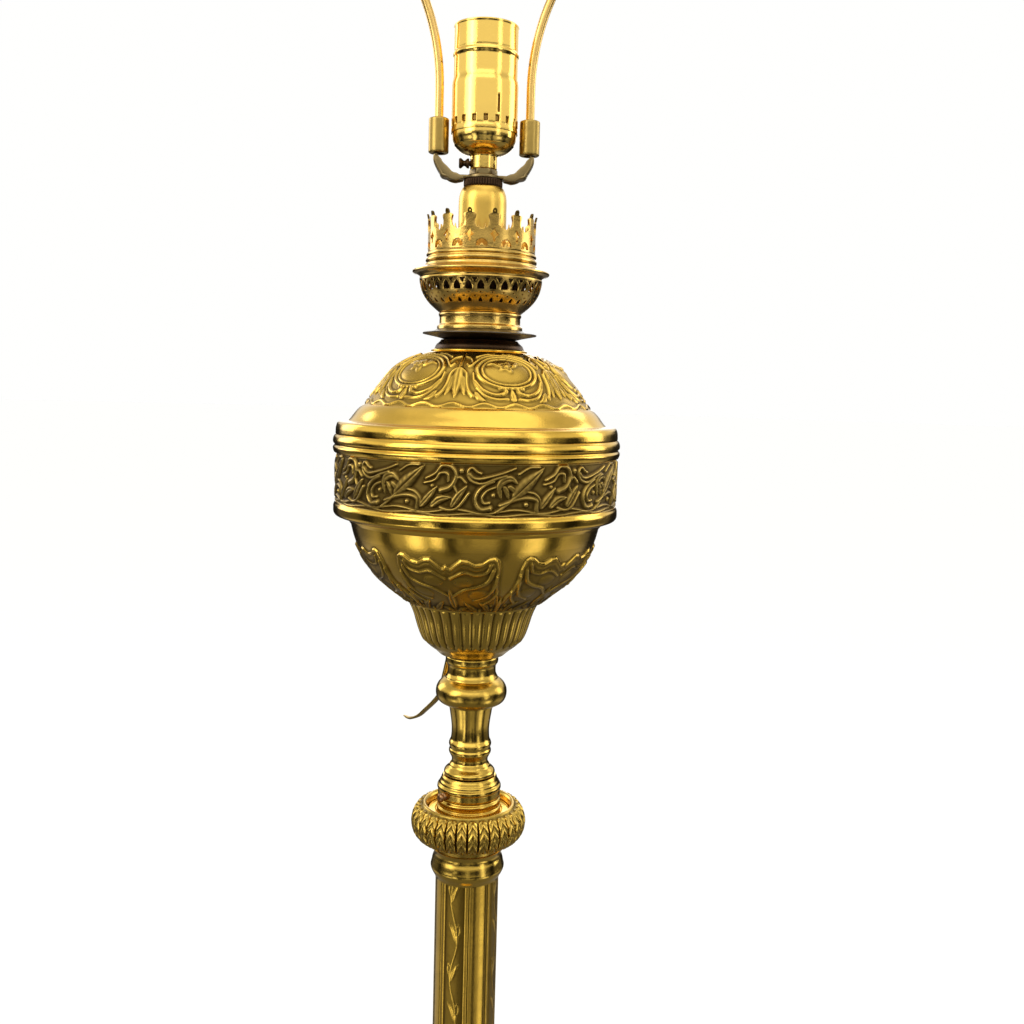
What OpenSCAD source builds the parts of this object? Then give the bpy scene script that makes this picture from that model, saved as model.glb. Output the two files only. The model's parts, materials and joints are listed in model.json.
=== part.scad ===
// Telescoping brass floor lamp, converted from an oil lamp.
// A weighted base carries a column; a rod slides in the column and carries
// the turned stem, the font, the pierced burner and the electric socket.
// The origin is on the floor, on the lamp's axis. +Z is up, -Y is the front.

/* [Base] */
// Diameter of the round base
base_d = 300; // [250:5:360]
// Height of the base shell
base_h = 92; // [75:1:115]
// Sheet thickness of the base shell
base_wall = 2.5; // [1.5:0.1:4]
// Thickness of the felt ring under the base
felt_t = 3; // [2:0.5:5]
// Height of the turned knop between the base and the column
foot_knop_h = 58; // [50:1:75]

/* [Column] */
// Outside diameter of the column tube
column_d = 34.8; // [33:0.2:42]
// Wall of the column tube
column_wall = 2.4; // [1.6:0.1:3]
// Length of plain column, from the foot knop up to the capital
column_len = 820; // [620:10:900]
// Height of the capital ring
capital_h = 17; // [14:0.5:22]
// Height of the leaf ring above the capital
leaf_ring_h = 19; // [16:0.5:24]
// Diameter of the leaf ring
leaf_ring_d = 62.6; // [56:0.2:74]

/* [Sliding rod] */
// Diameter of the rod that slides in the column
rod_d = 16; // [14:0.5:17]
// How far the rod can be drawn up
rod_travel = 350; // [250:10:380]
// Length of rod that stays in the column when fully drawn up
rod_hold = 100; // [80:5:130]
// Radial gap between pieces that slide in each other
slide_gap = 0.4; // [0.3:0.05:0.6]
// Height of the clamp collar
clamp_h = 20; // [16:0.5:24]
// Diameter of the clamp screws' thread
clamp_screw_d = 3.8; // [3:0.2:4.4]
// Diameter of the clamp screws' heads
clamp_head_d = 5.2; // [4.6:0.2:6]

/* [Stem] */
// Largest diameter of the stem's bulb
stem_knop_d = 39; // [36:0.5:44]
// Diameter of the foot flange of the stem
stem_flange_d = 28; // [26:0.5:32]
// Reach of the hook behind the stem, from the axis
hook_reach = 56; // [48:1:60]

/* [Font] */
// Diameter of the font at its frieze
font_d = 148.6; // [125:0.2:180]
// Height of the frieze band with its mouldings
band_h = 35; // [29:0.5:42]
// Height of the domed shoulder
dome_h = 44; // [36:0.5:52]
// Height of the bowl under the rim
bowl_h = 42; // [35:0.5:50]
// Height of the fluted cup under the bowl
cup_h = 29.5; // [25:0.5:35]
// Diameter of the fluted cup where it meets the bowl
cup_d = 71; // [60:0.5:80]
// Sheet thickness of the font's spun shells
font_wall = 1.5; // [1:0.1:2.2]

/* [Burner] */
// Diameter of the drip plate
drip_d = 60; // [52:0.5:70]
// Diameter of the burner neck
burner_neck_d = 42.6; // [38:0.2:48]
// Largest diameter of the pierced burner bowl
burner_d = 63.6; // [58:0.2:74]
// Number of openings around the burner bowl
burner_n = 34; // [28:2:38]
// Diameter of the thin flange above the burner bowl
burner_flange_d = 71.8; // [68:0.2:82]
// Diameter of the pierced gallery
crown_d = 56.8; // [54:0.2:66]
// Height of the pierced gallery
crown_h = 20; // [17:0.5:24]
// Number of points on the gallery
crown_n = 14; // [12:1:16]

/* [Socket] */
// Outside diameter of the adapter tube
adapter_d = 25; // [23:0.5:28]
// Outside diameter of the socket shell
socket_d = 33; // [32.6:0.1:36]
// Height of the socket shell
socket_h = 53; // [48:0.5:60]
// Inside diameter of the lamp thread, medium screw cap
lamp_thread_d = 26.6; // [26.4:0.1:26.8]
// Length of the lamp thread
lamp_thread_l = 30; // [24:1:34]

/* [Harp] */
// Distance between the harp's legs
harp_legs = 47; // [46:0.5:54]
// Greatest width of the harp bow
harp_w = 112; // [100:1:124]
// Wire diameter of the harp
harp_wire_d = 4.5; // [3.6:0.1:4.8]
// Outside diameter of the ferrules
ferrule_d = 10.5; // [10:0.1:12]
// Length of a ferrule
ferrule_l = 17.5; // [14:0.5:20]
// How high the left ferrule rests above its seat
ferrule_lift = 0; // [0:0.5:11]
// Diameter of the threaded stud on top
stud_d = 6.2; // [5.8:0.1:6.4]

/* [Hidden] */
$fn = 96;
fit = 0.05;              // radial gap of pieces fixed on each other
pipe_r = 5;              // threaded pipe through font, burner and socket
pipe_bore = 3.2;
nipple_r = 6.5;          // heavier pipe in the base
nipple_bore = 4;
bush_r = 4.4;            // cord bush in the back of the base
bush_bore = 3.2;
cord_z = felt_t + 5.6;
rest_gap = 0.4;          // stem flange above the clamp collar
disc_t = 2;              // dished disc on the leaf ring
flange_h = 5.6;
taper_h = 33;
knop_h = 16.5;
neck_h = 13;
rim_h = 11;
collar_h = 6.5;
drip_h = 5.5;
burner_neck_h = 9;
burner_h = 17;
burner_flange_h = 8;
gallery_ring_h = 5;
adapter_h = 37;
plate_t = 2;
locknut_h = 4;
saddle_t = 2;
spacer_h = 3;
cap_h = 18;
guide_h = 30;
plug_h = 30;

rod_r = rod_d / 2;
column_r = column_d / 2;
column_bore = column_r - column_wall;
base_top_r = 36;

// Levels, from the floor up
z_base = base_h;
z_col0 = z_base + foot_knop_h;
z_col1 = z_col0 + column_len;
z_leaf0 = z_col1 + capital_h;
z_leaf1 = z_leaf0 + leaf_ring_h;
z_clamp0 = z_leaf1 + disc_t;
z_clamp1 = z_clamp0 + clamp_h;
z_stem0 = z_clamp1 + rest_gap;
z_taper0 = z_stem0 + flange_h;
z_knop0 = z_taper0 + taper_h;
z_neck0 = z_knop0 + knop_h;
z_cup0 = z_neck0 + neck_h;
z_bowl0 = z_cup0 + cup_h;
z_rim0 = z_bowl0 + bowl_h;
z_band0 = z_rim0 + rim_h;
z_dome0 = z_band0 + band_h;
z_collar0 = z_dome0 + dome_h;
z_drip0 = z_collar0 + collar_h;
z_bneck0 = z_drip0 + drip_h;
z_burner0 = z_bneck0 + burner_neck_h;
z_flange0 = z_burner0 + burner_h;
z_ring0 = z_flange0 + burner_flange_h;
z_crown0 = z_ring0 + gallery_ring_h;
z_adapter0 = z_ring0 + plate_t;
z_locknut0 = z_adapter0 + adapter_h;
z_saddle0 = z_locknut0 + locknut_h;
z_spacer0 = z_saddle0 + saddle_t;
z_cap0 = z_spacer0 + spacer_h;
z_shell0 = z_cap0 + cap_h;
z_shell1 = z_shell0 + socket_h;

rod_bottom = z_clamp1 - rod_travel - rod_hold;
rod_top = z_neck0 + 6;

font_r = font_d / 2;
collar_r = 24.5;
cup_r = cup_d / 2;
burner_r = burner_d / 2;
crown_r = crown_d / 2;
crown_wall = 1.2;
leg_x = harp_legs / 2;
wire_r = harp_wire_d / 2;
ferrule_bore = wire_r + 0.75;
z_ferrule = z_saddle0 + 12.8;          // where a ferrule rests
z_leg = z_saddle0 + 24.3;              // where the round wire starts
tip_gap = 0.15;                        // half the gap of tongue and saddle tip
stud_neck_r = 2.6;

// The bow: straight leg, outward arc, side arc, top arc
bow_straight = z_saddle0 + 46;         // end of the straight leg
bow_out_r = 115;
bow_out_a = 30;
bow_in_a = 35;
bow_x1 = leg_x + bow_out_r * (1 - cos(bow_out_a));
bow_z1 = bow_straight + bow_out_r * sin(bow_out_a);
bow_side_r = (harp_w / 2 - bow_x1) / (1 - cos(bow_out_a));
bow_cx = harp_w / 2 - bow_side_r;
bow_cz = bow_z1 + bow_side_r * sin(bow_out_a);
bow_x2 = bow_cx + bow_side_r * cos(bow_in_a);
bow_z2 = bow_cz + bow_side_r * sin(bow_in_a);
bow_top_r = bow_x2 / cos(bow_in_a);
bow_top_cz = bow_z2 - bow_top_r * sin(bow_in_a);
z_bow_top = bow_top_cz + bow_top_r;    // centre line of the wire at the top

z_thread0 = z_shell0 + 16;             // floor of the lamp thread
contact_recess = 3;                    // depth of the contact's recess
switch_z = z_shell0 + 8;
clamp_screw_z = z_clamp1 - 9.3;
clamp_screw_az = 221;
hook_az = 135;

// A turned solid: an outline of [radius, height] from the bottom up, and a bore
module turned(outline, bore, z = 0) {
    first = outline[0];
    last = outline[len(outline) - 1];
    translate([0, 0, z]) rotate_extrude()
        polygon(concat([[bore, first[1]]], outline, [[bore, last[1]]]));
}

// A spun shell of even wall: the outline, then the same outline set in by the wall
module spun(outline, wall, z = 0) {
    n = len(outline);
    translate([0, 0, z]) rotate_extrude()
        polygon(concat(outline, [for (i = [n - 1:-1:0])
            [outline[i][0] - wall, outline[i][1]]]));
}

// Radius a share f of the way from r0 to r1
function between(r0, r1, f) = r0 + (r1 - r0) * f;

module base_felt() {
    color([0.10, 0.16, 0.10]) difference() {
        cylinder(r = base_d / 2 - 3, h = felt_t);
        translate([0, 0, -1]) cylinder(r = 60, h = felt_t + 2);
    }
}

// Cast disc with a hub that carries the shell's crown, a recess for the nut
// and a channel for the lamp cord that runs out to the back
module base_weight() {
    r = base_d / 2 - base_wall - 4;
    hub = z_base - base_wall;
    color([0.16, 0.16, 0.17]) difference() {
        turned([[r - 3, felt_t], [r, felt_t + 3], [r, felt_t + 6],
                [r - 12, felt_t + 9], [r * 0.62, felt_t + 15], [44, felt_t + 24],
                [26, hub - 12], [26, hub]], nipple_r + fit);
        translate([0, 0, felt_t - 1]) cylinder(r = 24, h = 20);
        translate([-6, 0, felt_t - 1]) cube([12, r + 5, 13]);
    }
}

base_outline = [for (p = [[1, 0], [1, 0.08], [0.975, 0.12], [0.94, 0.13],
                          [0.925, 0.19], [0.86, 0.24], [0.80, 0.25],
                          [0.66, 0.33], [0.50, 0.44], [0.38, 0.53],
                          [0.32, 0.56], [0.30, 0.63], [0.235, 0.68],
                          [0.13, 0.76], [0.055, 0.87], [0.02, 0.95], [0, 1]])
    [between(base_top_r, base_d / 2, p[0]), between(felt_t, z_base, p[1])]];

module base_shell() {
    n = len(base_outline);
    color([0.72, 0.55, 0.22]) difference() {
        rotate_extrude() polygon(concat(base_outline,
            [[nipple_r + fit, z_base], [nipple_r + fit, z_base - base_wall]],
            [for (i = [n - 1:-1:0])
                [base_outline[i][0] - base_wall,
                 max(base_outline[i][1] - base_wall, felt_t)]]));
        translate([0, base_d / 2 - 12, cord_z]) rotate([-90, 0, 0])
            cylinder(r = bush_r + fit, h = 20);
    }
}

module base_nipple() {
    color([0.45, 0.43, 0.38]) difference() {
        translate([0, 0, felt_t + 5])
            cylinder(r = nipple_r, h = z_col0 + plug_h - 4 - felt_t - 5);
        cylinder(r = nipple_bore, h = z_col0 + plug_h + 10);
    }
}

module base_washer() {
    color([0.55, 0.55, 0.55]) difference() {
        translate([0, 0, felt_t + 17]) cylinder(r = 18, h = 2);
        cylinder(r = nipple_r + fit, h = 60);
    }
}

module base_nut() {
    color([0.60, 0.60, 0.60]) difference() {
        translate([0, 0, felt_t + 9]) cylinder(r = 11.5, h = 8, $fn = 6);
        cylinder(r = nipple_r + fit, h = 60);
    }
}

// Insulating bush in the back of the base, where the lamp cord comes out
module cord_bushing() {
    color([0.08, 0.07, 0.06]) translate([0, base_d / 2 - 12.2, cord_z])
        rotate([-90, 0, 0]) difference() {
            union() {
                cylinder(r = bush_r, h = 12);
                cylinder(r = bush_r + 1, h = 2.2);
            }
            translate([0, 0, -1]) cylinder(r = bush_bore, h = 14);
        }
}

module column_foot() {
    h = foot_knop_h;
    color([0.74, 0.57, 0.24])
        turned([[34, 0], [36, 3.5], [34, 7.5], [26, 10], [24, 14], [27, 19],
                [30, 24], [31, 28], [30, 32], [27, 37], [21.5, 41],
                [column_r + 2.4, h - 13], [column_r + 4, h - 9.5],
                [column_r + 2.4, h - 6], [column_r + 1.2, h - 4],
                [column_r + 1.2, h]], nipple_r + fit, z_base);
}

module column_plug() {
    color([0.50, 0.42, 0.25]) translate([0, 0, z_col0]) difference() {
        cylinder(r = column_bore - fit, h = plug_h);
        translate([0, 0, -1]) cylinder(r = nipple_r + fit, h = plug_h - 2);
        translate([0, 0, -1]) cylinder(r = nipple_bore, h = plug_h + 2);
    }
}

module column_tube() {
    color([0.66, 0.50, 0.18]) difference() {
        translate([0, 0, z_col0]) cylinder(r = column_r, h = z_leaf1 - z_col0);
        translate([0, 0, z_col0 - 1]) cylinder(r = column_bore, h = z_leaf1 - z_col0 + 2);
    }
}

module column_capital() {
    k = capital_h / 17;
    color([0.72, 0.55, 0.22])
        turned([for (p = [[0.5, 0], [0.7, 1], [2.2, 3.4], [3.2, 6], [2.6, 8],
                          [2.2, 10.4], [1.3, 12.8], [1.3, 14.6], [2.3, 17]])
            [column_r + p[0], p[1] * k]], column_r + fit, z_col1);
}

// The leaves stand up around the seat of the dished disc
leaf_outline = [for (p = [[0.14, 0], [0.17, 0.16], [0.44, 0.20], [0.72, 0.32],
                          [0.88, 0.48], [1, 0.74], [0.95, 1.02], [0.80, 1.22],
                          [0.60, 1.34], [0.48, 1.34], [0.42, 1.22], [0.40, 1]])
    [between(column_r, leaf_ring_d / 2, p[0]), p[1] * leaf_ring_h]];

module leaf_ring() {
    color([0.70, 0.53, 0.22]) turned(leaf_outline, column_r + fit, z_leaf0);
}

module dished_disc() {
    r = between(column_r, leaf_ring_d / 2, 0.37);
    color([0.80, 0.64, 0.30])
        turned([[r - 1.5, 0], [r, 1], [r, disc_t]], rod_r + 1.2, z_leaf1);
}

module clamp_collar() {
    r = rod_r + 9.7;
    h = clamp_h;
    color([0.74, 0.57, 0.24]) difference() {
        turned([[r, 0], [r, 4.6], [r - 0.8, 5.4], [r - 0.3, 6.4], [r - 0.3, h - 6.4],
                [r - 0.7, h - 5.6], [r - 1.4, h - 3], [r - 2.5, h - 0.8], [r - 3.2, h]],
               rod_r + slide_gap, z_clamp0);
        for (a = [0, 180]) translate([0, 0, clamp_screw_z])
            rotate([0, 0, clamp_screw_az + a]) rotate([0, 90, 0])
                cylinder(r = clamp_screw_d / 2 + fit, h = r + 5);
    }
}

// A clamp screw: thread through the collar, waisted head outside it
module clamp_screw(az) {
    r = rod_r + 9.7;
    tip = rod_r + slide_gap + 0.3;
    hr = clamp_head_d / 2;
    color([0.45, 0.28, 0.14]) translate([0, 0, clamp_screw_z])
        rotate([0, 0, az]) rotate([0, 90, 0])
            turned([[clamp_screw_d / 2, tip], [clamp_screw_d / 2, r + 0.6],
                    [hr - 0.6, r + 0.6], [hr, r + 1.3], [hr, r + 3.2],
                    [hr - 0.5, r + 3.8]], 0);
}
module clamp_screw_left() { clamp_screw(clamp_screw_az); }
module clamp_screw_right() { clamp_screw(clamp_screw_az + 180); }

module sliding_rod() {
    color([0.78, 0.62, 0.28]) difference() {
        translate([0, 0, rod_bottom]) cylinder(r = rod_r, h = rod_top - rod_bottom);
        translate([0, 0, rod_bottom - 1])
            cylinder(r = pipe_r + fit, h = rod_top - rod_bottom + 2);
    }
}

// Bush on the rod's lower end that centres it in the column
module rod_guide() {
    r = column_bore - slide_gap;
    color([0.80, 0.78, 0.70])
        turned([[r - 1, 0], [r, 1], [r, guide_h - 1], [r - 1, guide_h]],
               rod_r + fit, rod_bottom);
}

module stem_flange() {
    r = stem_flange_d / 2;
    color([0.74, 0.57, 0.24])
        turned([[r, 0], [r, 2], [r - 0.4, 2.8], [r - 2.7, 4.8], [r - 3, flange_h]],
               rod_r + fit, z_stem0);
}

module stem_taper() {
    color([0.70, 0.54, 0.20])
        turned([for (p = [[2.9, 0], [1.9, 1.4], [1.9, 3.6], [2.7, 5.6], [3.6, 8],
                          [3.2, 10], [3.6, 12.4], [2.7, 14.6], [2.2, 20],
                          [2.7, 25], [3.6, 30.5], [3.9, 33]])
            [rod_r + p[0], p[1]]], rod_r + fit, z_taper0);
}

module stem_knop() {
    r = stem_knop_d / 2;
    color([0.74, 0.57, 0.22])
        turned([[r - 6.5, 0], [r - 6.3, 0.9], [r - 4, 1.7], [r - 1.6, 3.2],
                [r - 0.3, 5.6], [r, 8.2], [r - 0.4, 10.8], [r - 1.8, 13.2],
                [r - 3.8, 14.8], [r - 5.2, 15.6], [r - 5.2, knop_h]],
               rod_r + fit, z_knop0);
}

module stem_neck() {
    color([0.72, 0.56, 0.22])
        turned([[14.3, 0], [13.8, 0.8], [13.2, 2], [13, 4], [13.1, 6], [13.7, 7.4],
                [14.4, 8.4], [14.4, 11.5], [13.6, neck_h]], rod_r + fit, z_neck0);
}

// Tapered hook of strip, fixed under the cup behind the stem
module stem_hook() {
    top = z_cup0 - 0.3;
    w = 4.2;
    e = hook_reach;
    q = (e - 26) / 30;       // stretch of the part outside radius 26
    color([0.52, 0.40, 0.20]) rotate([0, 0, hook_az]) rotate([90, 0, 0])
        translate([0, 0, -w / 2]) linear_extrude(w)
            polygon([for (p = [[15, 0], [15, -1.6], [16.4, -2.2], [17.6, -7], [20, -15.5],
                               [21.9, -22], [23.9, -29.5], [27.6, -34.4], [31.8, -38],
                               [36.4, -42], [40, -45.2], [44.4, -47.7], [50, -49.4],
                               [56, -48], [50, -47.2], [45.2, -45.2], [41.4, -42.6],
                               [38.2, -39.8], [33.6, -35.6], [30, -32],
                               [26, -27.6], [24, -21.4], [21.8, -14.8], [19.4, -6],
                               [17.8, 0]])
                [p[0] > 26 ? 26 + (p[0] - 26) * q : p[0], top + p[1]]]);
}

module centre_pipe() {
    z0 = z_knop0 + 3;
    color([0.62, 0.60, 0.52]) difference() {
        translate([0, 0, z0]) cylinder(r = pipe_r, h = z_cap0 + 6 - z0);
        translate([0, 0, z0 - 1]) cylinder(r = pipe_bore, h = z_cap0 + 8 - z0);
    }
}

cup_outline = [for (p = [[0, 0], [0.15, 0.085], [0.32, 0.155], [0.46, 0.235],
                         [0.565, 0.32], [0.655, 0.46], [0.73, 0.61],
                         [0.80, 0.76], [0.915, 0.915], [1, 1]])
    [between(17.8, cup_r, p[0]), p[1] * cup_h]];

// Fluted cup: a hollow turning with a solid floor
module fluted_cup() {
    n = len(cup_outline);
    color([0.66, 0.50, 0.16]) translate([0, 0, z_cup0]) rotate_extrude()
        polygon(concat([[pipe_r + fit, 0]], cup_outline,
            [for (i = [n - 1:-1:2]) [cup_outline[i][0] - 3, cup_outline[i][1]]],
            [[pipe_r + fit, cup_outline[2][1]]]));
}

bowl_outline = [for (p = [[0, 0], [0.15, 0.095], [0.36, 0.215], [0.60, 0.37],
                          [0.745, 0.525], [0.87, 0.69], [0.945, 0.83], [1, 1]])
    [between(cup_r, font_r - 7.8, p[0]), p[1] * bowl_h]];

module font_bowl() {
    n = len(bowl_outline);
    color([0.74, 0.57, 0.20]) translate([0, 0, z_bowl0]) rotate_extrude()
        polygon(concat([[pipe_r + fit, 0]], bowl_outline,
            [for (i = [n - 1:-1:1])
                [bowl_outline[i][0] - font_wall - 0.6, bowl_outline[i][1]]],
            [[cup_r - 5, 1.6], [pipe_r + fit, 1.6]]));
}

module bowl_locknut() {
    color([0.55, 0.52, 0.42]) difference() {
        translate([0, 0, z_bowl0 + 1.6]) cylinder(r = 9, h = 4, $fn = 6);
        translate([0, 0, z_bowl0]) cylinder(r = pipe_r + fit, h = 10);
    }
}

module font_rim() {
    r = font_r;
    color([0.80, 0.64, 0.28])
        turned([[r - 7.3, 0], [r - 6.3, 2], [r - 2.8, 3], [r + 0.8, 4.6],
                [r + 1.3, 6], [r + 1.3, 9.4], [r + 0.4, rim_h]],
               r - 11, z_rim0);
}

// Frieze band: a plain wall under two mouldings
module font_band() {
    r = font_r;
    h = band_h;
    color([0.52, 0.38, 0.16])
        spun([[r, 0], [r, h - 9.5], [r + 1.3, h - 8.6], [r + 1.7, h - 6.4],
              [r + 0.9, h - 5.2], [r + 1.7, h - 3.4], [r + 1.5, h - 1.6],
              [r + 0.6, h - 0.6], [r + 0.4, h]], font_wall + 1.5, z_band0);
}

dome_outline = [for (p = [[1, 0], [1, 0.10], [0.985, 0.14], [0.93, 0.165],
                          [0.86, 0.20], [0.79, 0.26], [0.73, 0.32], [0.69, 0.39],
                          [0.66, 0.435], [0.62, 0.48], [0.58, 0.523],
                          [0.50, 0.66], [0.465, 0.727], [0.39, 0.79],
                          [0.345, 0.83], [0.285, 0.886], [0.18, 0.93], [0.02, 1]])
    [between(collar_r + 2.5, font_r + 0.4, p[0]), p[1] * dome_h]];

module font_dome() {
    n = len(dome_outline);
    color([0.78, 0.60, 0.24]) translate([0, 0, z_dome0]) rotate_extrude()
        polygon(concat(dome_outline, [[21, dome_h], [21, dome_h - font_wall - 0.7]],
            [for (i = [n - 2:-1:0])
                [dome_outline[i][0] - font_wall - 0.9,
                 max(dome_outline[i][1] - font_wall, 0)]]));
}

// Oil tank inside the font, hanging from the collar by its neck
module oil_tank() {
    r = font_r - 15;
    w = 1.2;
    top = z_collar0;
    shoulder = z_dome0 - 8;
    floor_z = z_rim0 + 4;
    color([0.60, 0.50, 0.30]) rotate_extrude()
        polygon([[20, top], [20, shoulder + 8], [r - 3, shoulder], [r, shoulder - 4],
                 [r, floor_z + 8], [r - 6, floor_z], [pipe_r + fit, floor_z],
                 [pipe_r + fit, floor_z + w], [r - 6 - w / 2, floor_z + w],
                 [r - w, floor_z + 8.4], [r - w, shoulder - 4.5],
                 [r - 3.6, shoulder - w], [20 - w, shoulder + 8 - w], [20 - w, top]]);
}

module font_collar() {
    color([0.30, 0.20, 0.10])
        turned([[collar_r + 0.7, 0], [collar_r + 1, 0.7], [collar_r + 0.7, 1.4],
                [collar_r - 0.5, 1.8], [collar_r - 1.2, 3.6], [collar_r - 2.8, 5.2],
                [collar_r - 4, collar_h]],
               pipe_r + fit, z_collar0);
}

module drip_plate() {
    r = drip_d / 2;
    color([0.30, 0.28, 0.24])
        turned([[collar_r - 7, 0], [r - 4, 2.2], [r, 3], [r, 3.6], [r - 4, 4.2],
                [burner_neck_d / 2 + 1, drip_h]], pipe_r + fit, z_drip0);
}

module burner_neck() {
    r = burner_neck_d / 2;
    color([0.70, 0.54, 0.24])
        spun([[r + 1.2, 0], [r + 1.2, 2], [r, 2.6], [r, 6.6], [r + 0.5, 7.2],
              [r + 0.5, 8], [r, 8.4], [r, burner_neck_h]], 2.5, z_bneck0);
}

burner_outline = [for (p = [[0, 0], [0.24, 0.12], [0.48, 0.25], [0.72, 0.43],
                            [0.90, 0.64], [1, 0.94], [1, 1]])
    [between(burner_neck_d / 2, burner_r, p[0]), p[1] * burner_h]];

// Pierced burner bowl: two rows of round-ended openings around a spun shell
module burner_bowl() {
    n = burner_n;
    color([0.72, 0.55, 0.22]) difference() {
        spun(burner_outline, 1.6, z_burner0);
        for (i = [0:n - 1]) rotate([0, 0, 360 / n * (i + 0.5)]) {
            translate([burner_r - 6, 0, z_burner0 + burner_h * 0.70]) rotate([0, 90, 0])
                cylinder(r = 1.8, h = 12, $fn = 24);
            translate([burner_r - 12, 0, z_burner0 + burner_h * 0.35]) rotate([0, 90, 0])
                cylinder(r = 1, h = 14, $fn = 24);
        }
    }
}

module burner_flange() {
    r = burner_flange_d / 2;
    color([0.74, 0.57, 0.24])
        turned([[burner_r, 0], [r - 2, 2.2], [r, 3], [r, 4], [r - 3, 4.8],
                [crown_r + 1, 6.2], [crown_r, burner_flange_h]],
               crown_r - 8, z_flange0);
}

module gallery_ring() {
    r = crown_r;
    color([0.72, 0.55, 0.24])
        turned([[r, 0], [r + 0.7, 0.8], [r + 0.7, 2], [r + 0.1, 2.6], [r + 0.5, 3.4],
                [r + 0.3, 4.6], [r, gallery_ring_h]], r - 2.2 + fit, z_ring0);
}

// Gallery: a thin wall cut into points, with a diamond under each point
// and an arched opening between them
module gallery_crown() {
    r = crown_r;
    h = crown_h;
    hw = r * sin(180 / crown_n);
    color([0.70, 0.53, 0.24]) difference() {
        turned([[r, 0], [r, h]], r - crown_wall, z_crown0);
        for (i = [0:crown_n - 1]) {
            rotate([0, 0, 360 / crown_n * i - 90]) translate([r - 6, 0, z_crown0])
                rotate([90, 0, 90]) linear_extrude(12)
                    polygon([[-hw + 0.5, h + 1], [-hw + 0.5, h - 0.6], [-hw * 0.58, h - 3.6],
                             [-hw * 0.5, h - 8.4], [-hw * 0.22, h - 10.4], [hw * 0.22, h - 10.4],
                             [hw * 0.5, h - 8.4], [hw * 0.58, h - 3.6], [hw - 0.5, h - 0.6],
                             [hw - 0.5, h + 1]]);
            rotate([0, 0, 360 / crown_n * (i + 0.5) - 90]) translate([r - 6, 0, z_crown0])
                rotate([90, 0, 90]) linear_extrude(12)
                    polygon([[0, h - 16.6], [2, h - 13], [0, h - 9.6], [-2, h - 13]]);
            rotate([0, 0, 360 / crown_n * i - 90]) translate([r - 6, 0, z_crown0 + 3.4])
                rotate([0, 90, 0]) cylinder(r = 2.1, h = 12, $fn = 24);
        }
    }
}

module adapter_plate() {
    color([0.62, 0.48, 0.22]) difference() {
        translate([0, 0, z_ring0]) cylinder(r = crown_r - 2.2, h = plate_t);
        translate([0, 0, z_ring0 - 1]) cylinder(r = pipe_r + fit, h = plate_t + 2);
    }
}

module adapter_tube() {
    r = adapter_d / 2;
    h = adapter_h;
    color([0.80, 0.64, 0.30]) difference() {
        turned([[r + 2.5, 0], [r + 2.5, 1.5], [r, 3.5], [r, h - 9], [r - 0.4, h - 5],
                [r - 1.2, h - 2], [r - 2, h]], pipe_r + fit, z_adapter0);
        translate([0, 0, z_adapter0 - 1]) cylinder(r = r - 3, h = h - 5);
    }
}

module saddle_locknut() {
    color([0.38, 0.32, 0.20])
        turned([[9.4, 0], [10, 0.5], [10, locknut_h - 0.5], [9.4, locknut_h]],
               pipe_r + fit, z_locknut0);
}

// Harp saddle: a channel-section strap with upturned tips for the ferrules
module harp_saddle() {
    x = leg_x;
    tip = z_ferrule + 10.2;
    color([0.46, 0.40, 0.26]) difference() {
        union() {
            translate([0, 0, z_saddle0]) for (s = [-1, 1]) scale([s, 1, 1]) {
                rotate([90, 0, 0]) translate([0, 0, -4.5]) linear_extrude(9)
                    polygon([[-1, 0], [x - 3, 0], [x + 3, 10.5], [x + 3, 11.5],
                             [x + 1.6, 12.3], [x + 0.15, 12.3], [x + 0.7, 10.8],
                             [x - 4.1, saddle_t], [-1, saddle_t]]);
                for (y = [-3.5, 4.5]) translate([0, y, 0]) rotate([90, 0, 0])
                    linear_extrude(1)
                        polygon([[9, 1], [x - 4.6, 1], [x + 0.2, 10], [x - 1.6, 11.2],
                                 [x - 5.6, 5], [9, 4.4]]);
                translate([x + tip_gap, -1.9, 11]) cube([1.45, 3.8, tip - z_saddle0 - 11]);
            }
            translate([0, 0, z_saddle0]) cylinder(r = 9, h = saddle_t);
        }
        translate([0, 0, z_saddle0 - 1]) cylinder(r = pipe_r + fit, h = saddle_t + 2);
    }
}

module spacer_nut() {
    color([0.50, 0.44, 0.22]) difference() {
        translate([0, 0, z_spacer0]) cylinder(r = 7.4, h = spacer_h, $fn = 6);
        translate([0, 0, z_spacer0 - 1]) cylinder(r = pipe_r + fit, h = spacer_h + 2);
    }
}

// Socket cap: a threaded neck under a shallow dome that holds the shell
module socket_cap() {
    r = socket_d / 2;
    color([0.86, 0.72, 0.42]) difference() {
        union() {
            turned([[7, 0], [7, 8], [7 + 0.4, 8.4]], pipe_r + fit, z_cap0);
            translate([0, 0, z_cap0]) rotate_extrude()
                polygon([[pipe_r + fit, 7], [8.2, 7], [11.5, 8.2], [14.2, 10.4],
                         [r - 0.7, 13.4], [r + 0.1, 16], [r + 0.1, cap_h],
                         [r - 1, cap_h], [r - 1.2, 15], [r - 3, 12.2], [10.8, 10.2],
                         [pipe_r + fit, 9.4]]);
        }
        translate([0, 0, z_cap0 + 3.2]) rotate([0, -90, 0]) cylinder(r = 1.4, h = 12);
    }
}

// Waisted thumb screw in the left of the cap's neck
module cap_set_screw() {
    color([0.20, 0.17, 0.12]) translate([0, 0, z_cap0 + 3.2]) rotate([0, -90, 0])
        turned([[1.4 - fit, pipe_r + 0.1], [1.4 - fit, 7.6], [2.4, 7.6], [2.4, 8.6],
                [1.3, 9.6], [2.6, 11.2], [2.6, 12.8]], 0);
}

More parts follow.
